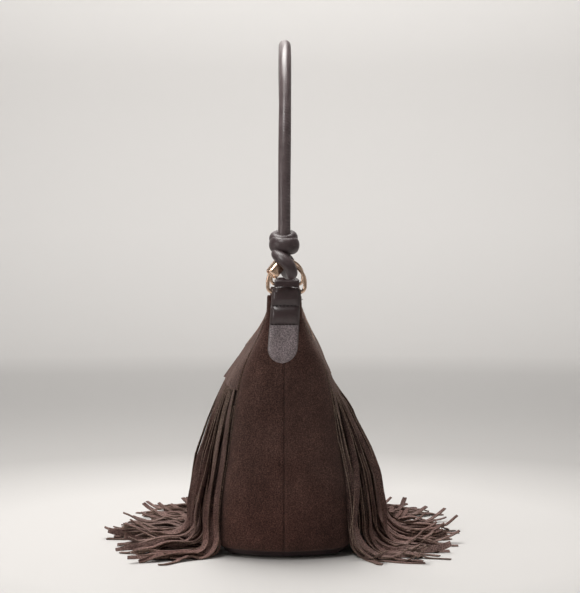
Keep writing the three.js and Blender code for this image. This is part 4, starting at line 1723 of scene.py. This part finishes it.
@dataclass
class Handle:
    """One rolled leather strap, with a knot round the ring at each end."""

    finishes: Finishes
    bar_x: float = RING_BAR_X
    cord: float = 6.2 * MM
    arch_radius: float = 6.6 * MM
    squareness: float = 2.3
    top: float = 559 * MM
    knot_height: float = 332 * MM
    ring_top: float = 309.4 * MM
    seam_ridge: float = 0.52 * MM
    seam_pitch: float = 3.2 * MM
    tail_toward: tuple[float, float, float] = (0.35, -0.6, -0.72)
    tail_end: tuple[float, float, float] = (167.2 * MM, -13.4 * MM, 299 * MM)
    cap_length: float = 12 * MM
    cap_radius: float = 7 * MM

    def seamed(self, length: float, radius: float, at: float = 0.75, strength: float = 1.0) -> Section:
        """Makes a round section with a whipped seam that runs along one side.

        Args:
            length: the cord's length.
            radius: its radius.
            at: the seam's angle round the section.
            strength: how strongly the seam shows.

        Returns:
            The section for sweep().
        """
        def section(share: Array, angle: Array) -> Pair:
            """Gives the section's coordinates.

            Args:
                share: how far along the cord, 0 to 1.
                angle: the angle round the section.

            Returns:
                The coordinates along the section's two axes.
            """
            away = (angle - at + math.pi) % (2 * math.pi) - math.pi
            beat = np.cos(2 * math.pi * share * length / self.seam_pitch + 2.3 * away)
            ridge = np.exp(-((away / 0.62) ** 2)) * (0.55 * beat - 0.15)
            groove = -0.5 * np.exp(-(((away + 0.02) / 0.09) ** 2))
            uneven = 0.12 * MM * np.sin(share * length / (23 * MM) + 2 * angle)
            r = radius + strength * self.seam_ridge * (ridge + groove) + uneven
            return r * np.cos(angle), r * np.sin(angle)

        return section

    def arch(self, build: Build) -> None:
        """Adds the arch from knot to knot.

        Args:
            build: the handle's build.
        """
        turn = math.pi * np.linspace(0.0, 1.0, 1201)
        power = 2 / self.squareness
        rise = self.top - self.cord - self.knot_height
        x = self.bar_x * np.sign(np.cos(turn)) * np.abs(np.cos(turn)) ** power
        z = self.knot_height + rise * np.abs(np.sin(turn)) ** power
        sway = 1.2 * MM * np.sin(2.2 * turn) * np.sin(turn)
        line = even_steps(np.stack([x, sway, z], axis=1), 1500)
        length = float(np.linalg.norm(np.diff(line, axis=0), axis=1).sum())
        _, side, other = carried_frames(line, ALONG)
        points, faces = sweep(line, side, other, self.seamed(length, self.arch_radius), 30)
        # Slot 1 is the lighter copy of the rolled leather: painted light on the arch.
        build.add(points, faces, 1)

    def wrap(
        self, centre: Sequence[float], radius: float, section: tuple[float, float], tilt: tuple[float, float]
    ) -> Pair:
        """Makes one turn of the strap round the cord.

        Args:
            centre: the turn's middle.
            radius: from the middle to the strap's middle.
            section: half the strap's depth and half its height.
            tilt: the turn's lean about X and about Y, in degrees.

        Returns:
            The points and faces.
        """
        turn = np.linspace(0.0, 2 * math.pi, 120, endpoint=False)
        flat = np.stack([np.cos(turn) * radius, np.sin(turn) * radius * 1.03, np.zeros(120)], axis=1)
        lean = Matrix.Rotation(math.radians(tilt[0]), 3, "X") @ Matrix.Rotation(math.radians(tilt[1]), 3, "Y")
        turned = np.array(lean)
        line = flat @ turned.T + np.asarray(centre)
        out = unit(flat) @ turned.T
        up = np.tile(turned @ UP, (120, 1))

        def oval(share: Array, angle: Array) -> Pair:
            """Gives the strap's oval section, a little fuller on the outside.

            Args:
                share: how far round the turn, 0 to 1.
                angle: the angle round the section.

            Returns:
                The coordinates along the section's two axes.
            """
            swell = 1 + 0.05 * np.sin(2 * math.pi * share * 2 + 0.6)
            return section[0] * swell * np.cos(angle), section[1] * np.sin(angle)

        return sweep(line, out, up, oval, 36, ring=True)

    def loop(self) -> Pair:
        """Makes the strap's turn through the ring, from the front of the knot down and up inside.

        Returns:
            The points and faces.
        """
        x, top = self.bar_x / MM, self.ring_top / MM
        low = top - 9.1
        stops = np.array([
            (x + 2, -6, self.knot_height / MM - 9), (x + 12, -6.5, top + 10), (x + 18.8, -1.6, top + 5.6),
            (x + 21.0, 4.6, top - 0.8), (x + 17.6, 7.8, low + 1.0), (x + 10, 7.2, low - 1.0),
            (x + 2, 4.8, low - 0.9), (x - 5.5, 2, low + 1.2), (x - 9.2, 0.5, top - 1.6),
            (x - 9.2, 0, top + 8), (x - 3, 0, self.knot_height / MM - 3),
        ]) * MM
        line = smooth_path(stops, 220)
        length = float(np.linalg.norm(np.diff(line, axis=0), axis=1).sum())
        _, side, other = carried_frames(line, ALONG)
        plain = self.seamed(length, 1.0, 2.2, 0.0)

        def strap(share: Array, angle: Array) -> Pair:
            """Gives the strap's section, flattened where it is pulled over the ring.

            Args:
                share: how far along the strap, 0 to 1.
                angle: the angle round the section.

            Returns:
                The coordinates along the section's two axes.
            """
            fold = 0.22 * MM * np.sin(5 * angle + 9 * share) * np.exp(-(((share - 0.27) / 0.13) ** 2))
            wide = self.cord * (1 + 0.26 * np.exp(-(((share - 0.25) / 0.16) ** 2))) + fold
            u, v = plain(share, angle)
            unit_u, unit_v = u / np.hypot(u, v), v / np.hypot(u, v)
            return self.cord * 0.94 * unit_u, wide * unit_v

        return sweep(line, side, other, strap, 36)

    def tail(self) -> Pair:
        """Makes the strap's free end, which runs from under the knot into the cap.

        Returns:
            The points and faces.
        """
        toward = unit(np.array(self.tail_toward))
        end = np.array(self.tail_end)
        root = np.array([self.bar_x + 8 * MM, 1 * MM, self.knot_height - 12 * MM])
        stops = [root, end - toward * (self.cap_length + 9 * MM), end - toward * (self.cap_length - 6 * MM)]
        line = smooth_path(stops, 60)
        _, side, other = carried_frames(line, ALONG)

        def necked(share: Array, angle: Array) -> Pair:
            """Gives a section that narrows into the cap.

            Args:
                share: how far along the free end, 0 to 1.
                angle: the angle round the section.

            Returns:
                The coordinates along the section's two axes.
            """
            r = self.cord - 0.9 * MM * np.clip((share - 0.62) / 0.2, 0.0, 1.0)
            return r * np.cos(angle), r * np.sin(angle)

        return sweep(line, side, other, necked, 28)

    def make(self) -> Object:
        """Makes the handle.

        Returns:
            The handle, riding on its own body.
        """
        build = Build()
        self.arch(build)
        high = self.knot_height - 0.6 * MM
        lower = (self.bar_x + 1 * MM, 0, high - 1.6 * MM)
        upper = (self.bar_x - 3.5 * MM, -0.8 * MM, high + 5.2 * MM)
        shapes = [
            self.wrap(lower, 9.5 * MM, (6.4 * MM, 8.9 * MM), (-3, 10)),
            self.wrap(upper, 8.8 * MM, (6.2 * MM, 6.6 * MM), (4, 20)),
            self.loop(),
            self.tail(),
        ]
        for end in End:
            for points, faces in shapes:
                placed = ended(points, end)
                build.add(placed, turned_out(placed, faces), 0)
        # The arch takes the lighter copy of the rolled leather as painted light. The knots take the plain
        # one.
        piece = build.finish("handle_strap", [self.finishes.rolled, self.finishes.rubbed])
        return stand_in(piece, "handle", "handle")

    def cap(self, end: End, name: str, node: str) -> Object:
        """Makes one turned metal cap on a strap's free end.

        Args:
            end: the end of the bag.
            name: the piece's name.
            node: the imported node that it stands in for.

        Returns:
            The cap, riding with the handle.
        """
        r, length = self.cap_radius / MM, self.cap_length / MM
        profile = [
            (0, 1.3), (r - 2.2, 1.3), (r - 1.7, 0.9), (r - 1.5, 0.1), (r - 0.9, 0), (r - 0.25, 0.6), (r, 1.3),
            (r, 3.0), (r - 0.35, 3.3), (r - 0.35, 3.7), (r, 4.0), (r, length - 0.5), (r - 0.4, length),
            (r - 1.0, length), (r - 1.3, length - 0.4), (r - 1.3, length - 6), (0, length - 6),
        ]
        points, faces = lathe([(a * MM, b * MM) for a, b in profile], 64)
        toward = Vector(self.tail_toward).normalized()
        turn = np.array((-toward).to_track_quat("Z", "Y").to_matrix())
        points = ended(points @ turn.T + np.array(self.tail_end), end)
        piece = add_mesh(name, points, turned_out(points, faces), [self.finishes.gold], crease=32)
        return stand_in(piece, "handle", node)


# Fringe.


class Heap:
    """How high the fringe already lies on the floor, on a fine grid beside one face of the bag."""

    CELL = 3 * MM
    LENGTH = 160
    DEPTH = 96

    def __init__(self) -> None:
        """Starts with an empty floor."""
        self.height = np.zeros((self.LENGTH, self.DEPTH))

    def cells(self, x: Array, y: Array) -> Pair:
        """Finds the grid cells under points.

        Args:
            x: places along the bag.
            y: distances out from the bag's middle plane.

        Returns:
            The cells' numbers along the bag and out from it.
        """
        i = np.clip((x / self.CELL + self.LENGTH // 2).astype(int), 0, self.LENGTH - 1)
        j = np.clip((y / self.CELL).astype(int), 0, self.DEPTH - 1)
        return i, j

    def under(self, x: Array, y: Array) -> Array:
        """Gives the heap's height under points."""
        return self.height[self.cells(x, y)]

    def lay(self, x: Array, y: Array, top: Array) -> None:
        """Raises the heap to a strip's upper side."""
        cells = self.cells(x, y)
        np.maximum.at(self.height, cells, top)


@dataclass(frozen=True)
class Tier:
    """Sizes of one fringe sheet; heights are in the middle of the bag."""

    name: str
    top: float
    climb: float
    header: float
    header_climb: float
    strip_length: float
    length_spread: float
    bends: tuple[float, float]
    stand: tuple[tuple[float, float], ...]


@dataclass
class Fringe:
    """One suede sheet cut into strips below a sewn header, and spread on the floor."""

    SECTION: ClassVar[tuple[tuple[float, float], ...]] = (
        (-1.0, 0.72), (-0.55, 1.0), (0.0, 1.0), (0.55, 1.0), (1.0, 0.72),
        (1.0, -0.72), (0.55, -1.0), (0.0, -1.0), (-0.55, -1.0), (-1.0, -0.72),
    )

    face: Face
    tier: Tier
    form: BagForm
    heap: Heap
    finishes: Finishes
    seed: int
    strips: int = 40
    thickness: float = 1.3 * MM
    margin_strip: float = 8.4 * MM
    wrap: float = 0.30
    hanging_steps: int = 26
    bend_steps: int = 7
    lying_steps: int = 22
    clear_of_floor: float = 0.2 * MM
    end_strips_from: float = 0.93
    farthest: float = 186 * MM
    curled_share: float = 0.20
    turned_over_below: float = 0.10
    on_edge_below: float = 0.17
    on_edge_turn: float = 1.25
    least_lying: float = 18 * MM
    heap_fall: float = 0.9 * MM
    heap_limit: float = 15 * MM
    nominal_half: float = 139 * MM

    def __post_init__(self) -> None:
        """Chooses how the strips bunch together."""
        self.clumps = Ripple(self.seed + 7, (0.30, 1.0), 6)

    def top_line(self, u: Array) -> Array:
        """Gives the height of the header's upper edge; u is -1 to 1 along the bag."""
        return self.tier.top + self.tier.climb * u**2

    def cut_line(self, u: Array) -> Array:
        """Gives the height where the strips begin."""
        return self.top_line(u) - self.tier.header - self.tier.header_climb * u**2

    def reach_round(self, z: Array) -> Array:
        """Gives how far round the face the sheet reaches, a little past the start of the corner."""
        corner = self.form.size("corner", z)
        return self.form.size("half", z) - corner + self.wrap * corner

    def stand_off(self, u: Array, z: Array) -> Array:
        """Gives how far the sheet hangs from the suede.

        Args:
            u: place along the bag, -1 to 1.
            z: heights.

        Returns:
            The distances.
        """
        drop = np.clip(self.top_line(u) - z, 0.0, None) / MM
        away = np.interp(drop, [d for d, _ in self.tier.stand], [s for _, s in self.tier.stand])
        return np.maximum(away * MM * (1 - 0.82 * np.abs(u) ** 4), 0.8 * MM)

    def place(self, q: Array, z: Array, away: Array) -> Pair:
        """Puts points on or off the face.

        Args:
            q: signed distance along the face, past its ends round the corners.
            z: heights.
            away: distance outward from the suede.

        Returns:
            The points (..., 3) and the outward directions.
        """
        level = np.maximum(z, 36 * MM)
        half, corner, end, flat = (self.form.size(n, level) for n in ("half", "corner", "end", "flat"))
        straight = half - corner
        past = np.clip((np.abs(q) - straight) / corner, 0.0, 1.3)
        x = np.minimum(np.abs(q), straight) + corner * np.sin(past)
        face = self.form.face_depth(np.minimum(np.abs(q), straight), level)
        if self.face is Face.BACK:
            face = face - self.form.back_gives(x, level)
        y = np.where(past > 0, flat + (end - flat) * np.cos(past), face)
        out = np.stack([np.sin(past) * (end - flat), np.cos(past) * corner, np.zeros_like(x)], axis=-1)
        out = unit(out)
        points = np.stack([x, y, np.broadcast_to(z, x.shape)], axis=-1) + out * away[..., None]
        sign = np.stack([np.where(q < 0, -1.0, 1.0), np.ones_like(x), np.ones_like(x)], axis=-1)
        return points * sign, out * sign

    def header(self, build: Build, edges: Array) -> None:
        """Adds the uncut band and its stitches.

        Args:
            build: the sheet's build.
            edges: the cuts between the strips, from -1 to 1.
        """
        fine = np.concatenate([np.linspace(a, b, 5)[:-1] for a, b in zip(edges[:-1], edges[1:])] + [[1.0]])
        down = np.linspace(0.0, 1.0, 26)
        top, cut = self.top_line(fine), self.cut_line(fine)
        z = top[None, :] + (cut - top)[None, :] * down[:, None]
        u = np.broadcast_to(fine, z.shape)
        q = u * self.reach_round(z)
        ruffle = Ripple(self.seed + 5, (0.040, 0.09), 8)(q, z) * 1.7 * MM * down[:, None] ** 1.5
        away = self.stand_off(u, z) + ruffle * (1 - 0.3 * np.abs(u) ** 6)
        middle, out = self.place(q, z, away)
        half = self.thickness / 2
        points, faces, cut_side = thick_sheet(middle + out * half, middle - out * half)
        points = faced(points, self.face)
        build.add(points, turned_out(points, faces), cut_side)
        surface = middle + out * half
        for sewn in (np.s_[2, :], np.s_[2:16, 3], np.s_[2:16, -4]):
            StitchRow().lay(build, faced(surface[sewn], self.face), faced(out[sewn], self.face), 2)

    def strip(self, build: Build, low: float, high: float, rng: np.random.Generator) -> None:
        """Adds one strip: hanging, bending at the floor and lying on the heap.

        Args:
            build: the sheet's build.
            low: its first edge along the header, -1 to 1.
            high: its other edge.
            rng: the sheet's random source.
        """
        u = (low + high) / 2
        cut = float(self.cut_line(np.array(u)))
        reach = float(self.reach_round(np.array(cut)))
        width = (high - low) * reach
        length = self.tier.strip_length + rng.uniform(-1, 1) * self.tier.length_spread
        bend = rng.uniform(*self.tier.bends) * MM
        side = 1.0 if u > 0 else -1.0

        share = np.linspace(0.0, 1.0, self.hanging_steps)
        drift = (5.5 * abs(u) ** 2 + rng.normal(0, 3.0)) * MM * side * share**1.6
        sway = rng.normal(0, 2.0) * MM * np.sin(math.pi * share * rng.uniform(0.8, 1.7)) * share**0.6
        gather = self.clumps(np.array(u), np.array(0.0)) * 6.5 * MM * share**1.1
        q = u * reach + drift + sway + gather
        own = rng.normal(0, 3.6) * MM * np.sin(math.pi * 0.5 * share) + rng.normal(0, 1.4) * MM * np.sin(
            2 * math.pi * share + rng.uniform(0, 6)
        ) * share
        heading = 0.50 * u + rng.normal(0, 0.27)
        if abs(u) > self.end_strips_from:
            heading = side * (0.30 + rng.uniform(0, 0.35))
        toward = np.array([math.sin(heading), math.cos(heading), 0.0])

        near_floor = np.array([12 * MM])
        foot_guess, _ = self.place(q[-1:], near_floor, self.stand_off(np.array([u]), near_floor))
        landing = foot_guess[0] + toward * bend
        rest = float(self.heap.under(landing[:1], landing[1:2])[0])
        foot = rest + bend + self.thickness / 2
        z = cut + (foot - cut) * share
        away = self.stand_off(np.full_like(z, u), z) + own * (1 - 0.5 * abs(u) ** 4)
        hanging, out = self.place(q, z, np.maximum(away, 1.2 * MM))
        hanging_length = np.linalg.norm(np.diff(hanging, axis=0), axis=1).sum()

        turn = np.linspace(0.0, math.pi / 2, self.bend_steps + 1)[1:]
        start = hanging[-1]
        bending = start + toward * (bend * (1 - np.cos(turn)))[:, None] - UP * (bend * np.sin(turn))[:, None]
        bend_out = toward * np.cos(turn)[:, None] + UP * np.sin(turn)[:, None]

        left = max(length - hanging_length - bend * math.pi / 2, self.least_lying)
        lying = self.lying_line(bending[-1], heading, left, rng)
        floor = self.rest_heights(lying, width)
        curled = rng.random() < self.curled_share
        tip = np.linspace(0.0, 1.0, self.lying_steps)
        if curled:
            floor = floor + rng.uniform(7, 17) * MM * np.clip((tip - 0.45) / 0.55, 0.0, 1.0) ** 1.7
        lying[:, 2] = floor + self.thickness / 2
        blend = np.linspace(0.0, 1.0, 6)
        lying[:6, 2] = bending[-1][2] * (1 - blend) + lying[:6, 2] * blend

        line = np.concatenate([hanging, bending, lying])
        twist = self.turning(u, len(line), rng)
        normals = np.concatenate([out, bend_out, np.tile(UP, (self.lying_steps, 1))])
        soften = np.clip((share - 0.55) / 0.45, 0.0, 1.0)[:, None]
        normals[: self.hanging_steps] = unit(out * (1 - soften) + toward * soften)
        self.ribbon(build, line, normals, twist, width, rng)
        if not curled:
            for offset in (-0.4, 0.0, 0.4):
                edge = lying + np.cross(unit(np.gradient(lying, axis=0)), UP) * (offset * width)
                self.heap.lay(edge[:, 0], edge[:, 1], lying[:, 2] + self.thickness * 0.55)

    def lying_line(
        self, start: Array, heading: float, length: float, rng: np.random.Generator
    ) -> Array:
        """Gives a strip's middle line on the floor, from where it lands.

        Args:
            start: where it lands.
            heading: its direction, turned from straight out.
            length: how much of the strip lies down.
            rng: the sheet's random source.

        Returns:
            The points, all still at the landing's height.
        """
        step = length / self.lying_steps
        lying, at = [], start
        wobble, turn_rate = rng.normal(0, 1.0), rng.normal(0, 4.0)
        for k in range(self.lying_steps):
            way = k / self.lying_steps
            pull = heading + turn_rate * way * length + 0.16 * math.sin(wobble + 5.5 * way)
            if abs(at[0] + math.sin(pull) * step) > self.farthest:
                pull *= 0.3
            at = at + np.array([math.sin(pull), math.cos(pull), 0.0]) * step
            lying.append(at)
        return np.array(lying)

    def turning(self, u: float, steps: int, rng: np.random.Generator) -> Array:
        """Gives how far a strip turns about its own line: some end face down and a few on edge.

        Args:
            u: its place along the header, -1 to 1.
            steps: the number of points in its line.
            rng: the sheet's random source.

        Returns:
            The turn at each point.
        """
        flip = rng.random()
        if flip < self.turned_over_below:
            settle = math.pi
        elif flip < self.on_edge_below:
            settle = rng.choice([-1, 1]) * self.on_edge_turn
        else:
            settle = rng.normal(0, 0.10)
        lean = rng.normal(0, 0.8) * (1 - 0.5 * abs(u) ** 4)
        along = np.linspace(0.0, 1.0, steps)
        grown = np.clip(along / 0.62, 0.0, 1.0)
        ease = grown**2 * (3 - 2 * grown)
        twist = settle * ease + lean * np.sin(math.pi * np.clip(along / 0.66, 0, 1)) ** 1.2
        twist[0] = 0.0
        return twist

    def rest_heights(self, lying: Array, width: float) -> Array:
        """Gives how high a strip lies where it crosses what is already on the floor.

        Args:
            lying: the strip's middle line on the floor.
            width: its width.

        Returns:
            The height of its underside at each point.
        """
        across = np.cross(unit(np.gradient(lying, axis=0)), UP)
        heights = np.zeros(len(lying))
        for offset in (-0.4, 0.0, 0.4):
            edge = lying + across * (offset * width)
            heights = np.maximum(heights, self.heap.under(edge[:, 0], edge[:, 1]))
        for k in range(1, len(heights)):
            heights[k] = max(heights[k], heights[k - 1] - self.heap_fall)
        for k in range(len(heights) - 2, -1, -1):
            heights[k] = max(heights[k], heights[k + 1] - self.heap_fall)
        smooth = np.convolve(np.pad(heights, 1, mode="edge"), [0.25, 0.5, 0.25], mode="valid")
        return np.minimum(smooth, self.heap_limit)

    def ribbon(
        self,
        build: Build,
        line: Array,
        normals: Array,
        twist: Array,
        width: float,
        rng: np.random.Generator,
    ) -> None:
        """Adds a strip's closed mesh.

        Args:
            build: the sheet's build.
            line: its middle line.
            normals: its outer face's direction before twisting.
            twist: turn about the line at each point.
            width: its width.
            rng: the sheet's random source.
        """
        tangent = unit(np.gradient(line, axis=0))
        across = unit(np.cross(tangent, normals))
        normal = np.cross(across, tangent)
        c, s = np.cos(twist)[:, None], np.sin(twist)[:, None]
        across, normal = across * c + normal * s, normal * c - across * s
        half = self.thickness / 2
        gap = 0.10 * MM
        taper = np.ones(len(line))
        taper[-2:] = (0.96, 0.88)
        w = (width / 2 - gap) * taper
        cup = rng.normal(0.25, 0.35) * MM
        grow = np.clip(np.linspace(0.0, 1.0, len(line)) * 4, 0, 1)
        rings = []
        for a, b in self.SECTION:
            bowed = cup * grow * (a * a - 0.4)
            rings.append(line + across * (w * a)[:, None] + normal * (half * b + bowed)[:, None])
        grid = np.stack(rings, axis=1)
        tip = grid[-1].mean(axis=0)
        root = grid[0].mean(axis=0) + unit(line[0] - line[1]) * 1.2 * MM
        first = root + (grid[0] - grid[0].mean(axis=0)) * 0.98
        grid = np.concatenate([
            (root + (first - root) * 0.02)[None], first[None], grid, (tip + (grid[-1] - tip) * 0.02)[None]
        ])
        sides = len(self.SECTION)
        faces = grid_faces(len(grid), sides, around=True)
        row, column = np.divmod(faces[:, 0], sides)
        raw = (column == sides // 2 - 1) | (column == sides - 1) | (row == len(grid) - 2)
        points = faced(grid.reshape(-1, 3), self.face)
        points[:, 2] = np.maximum(points[:, 2], self.clear_of_floor)
        build.add(points, turned_out(points, faces), raw.astype(int))

    def make(self) -> Object:
        """Makes the sheet.

        Returns:
            The sheet, riding on the bag.
        """
        rng = np.random.default_rng(self.seed)
        margin = self.margin_strip / self.nominal_half
        edges = np.concatenate([[-1.0], np.linspace(-1 + margin, 1 - margin, self.strips - 1), [1.0]])
        build = Build()
        self.header(build, edges)
        for k in rng.permutation(self.strips):
            self.strip(build, edges[k], edges[k + 1], rng)
        side = self.face.name.lower()
        name = f"{side}_{self.tier.name}_strips"
        skins = [self.finishes.strip, self.finishes.cut_edge, self.finishes.stitch]
        piece = build.finish(name, skins, crease=40)
        return stand_in(piece, "bag", f"{side}_fringe_{self.tier.name}")


TIERS = {
    Face.FRONT: (
        Tier("lower", 152 * MM, 14 * MM, 40 * MM, 6 * MM, 182 * MM, 14 * MM, (9, 17),
             ((0, 0.9), (22, 3.0), (63, 7.5), (91, 8.0), (142, 9.0))),
        Tier("middle", 186 * MM, 24 * MM, 42 * MM, 8 * MM, 226 * MM, 16 * MM, (10, 20),
             ((0, 0.9), (20, 3.0), (56, 8.0), (97, 14.0), (125, 15.0), (176, 16.0))),
        Tier("upper", 218 * MM, 34 * MM, 40 * MM, 36 * MM, 250 * MM, 18 * MM, (12, 25),
             ((0, 1.4), (18, 2.8), (40, 8.8), (88, 16.6), (129, 22.0), (157, 22.0), (205, 24.0))),
    ),
    Face.BACK: (
        Tier("lower", 152 * MM, 14 * MM, 40 * MM, 6 * MM, 178 * MM, 14 * MM, (12, 24),
             ((0, 0.9), (22, 3.0), (55, 8.0), (84, 11.0), (142, 12.0))),
        Tier("middle", 186 * MM, 24 * MM, 42 * MM, 8 * MM, 222 * MM, 16 * MM, (16, 32),
             ((0, 0.9), (30, 2.4), (56, 6.0), (89, 13.0), (118, 18.0), (176, 19.0))),
        Tier("upper", 218 * MM, 34 * MM, 40 * MM, 36 * MM, 246 * MM, 18 * MM, (20, 42),
             ((0, 1.4), (20, 2.2), (41, 2.8), (63, 5.2), (88, 10.4), (121, 20.6), (150, 26.5), (208, 28.0))),
    ),
}


# The whole bag.


def report(piece: Object) -> Object:
    """Logs a piece's size, as its number of faces.

    Args:
        piece: the piece.

    Returns:
        The piece.
    """
    LOG.info("%s: %d faces", piece.name, len(piece.data.polygons))
    return piece


def make_body(form: BagForm, finishes: Finishes) -> list[Object]:
    """Makes the panels, the base and the inside.

    Args:
        form: the bag's form.
        finishes: its materials.

    Returns:
        The pieces.
    """
    body = Body(form, finishes)
    pieces = [report(body.panel(face, f"{face.name.lower()}_suede")) for face in Face]
    pieces.append(report(body.base()))
    pieces.append(report(body.mouth_facing()))
    pieces.append(report(body.lining_bag()))
    pieces.append(report(body.slip_pocket()))
    pieces.append(report(body.board()))
    pieces.extend(report(half) for half in body.snap())
    return pieces


def make_handle(finishes: Finishes) -> list[Object]:
    """Makes the tabs, the rings, the handle and its caps.

    Args:
        finishes: the materials.

    Returns:
        The pieces.
    """
    pieces = []
    for end in End:
        side = end.name.lower()
        raised = FAR_TAB_RAISED if end is End.FAR else 0.0
        tab = Tab(end, finishes, bar_height=RING_BAR_HEIGHT + raised)
        pieces.append(report(tab.make(f"{side}_tab_strap", f"{side}_tab")))
        ring = RingShape(end, finishes).make(f"{side}_ring_wire", f"{side}_ring", f"{side}_ring")
        pieces.append(report(ring))
    handle = Handle(finishes)
    pieces.append(report(handle.make()))
    for end in End:
        side = end.name.lower()
        pieces.append(report(handle.cap(end, f"{side}_cap_turned", f"{side}_end_cap")))
    return pieces


def make_fringe(form: BagForm, finishes: Finishes) -> list[Object]:
    """Args:
        form: the bag's form.
        finishes: its materials.

    Returns:
        The sheets.
    """
    pieces = []
    for face in Face:
        heap = Heap()
        for number, tier in enumerate(TIERS[face]):
            sheet = Fringe(face, tier, form, heap, finishes, seed=100 * (face.value + 2) + number).make()
            pieces.append(report(sheet))
    return pieces


def main() -> None:
    """Builds the whole scene, in order."""
    logging.basicConfig(level=logging.INFO, format="%(message)s")
    studio = Studio()
    studio.place_camera()
    studio.lay_floor()
    studio.light()
    finishes = Finishes.mixed_up()
    form = BagForm()
    pieces = make_body(form, finishes)
    pieces += make_handle(finishes)
    pieces += make_fringe(form, finishes)
    LOG.info("%d pieces", len(pieces))


if __name__ == "__main__":
    main()
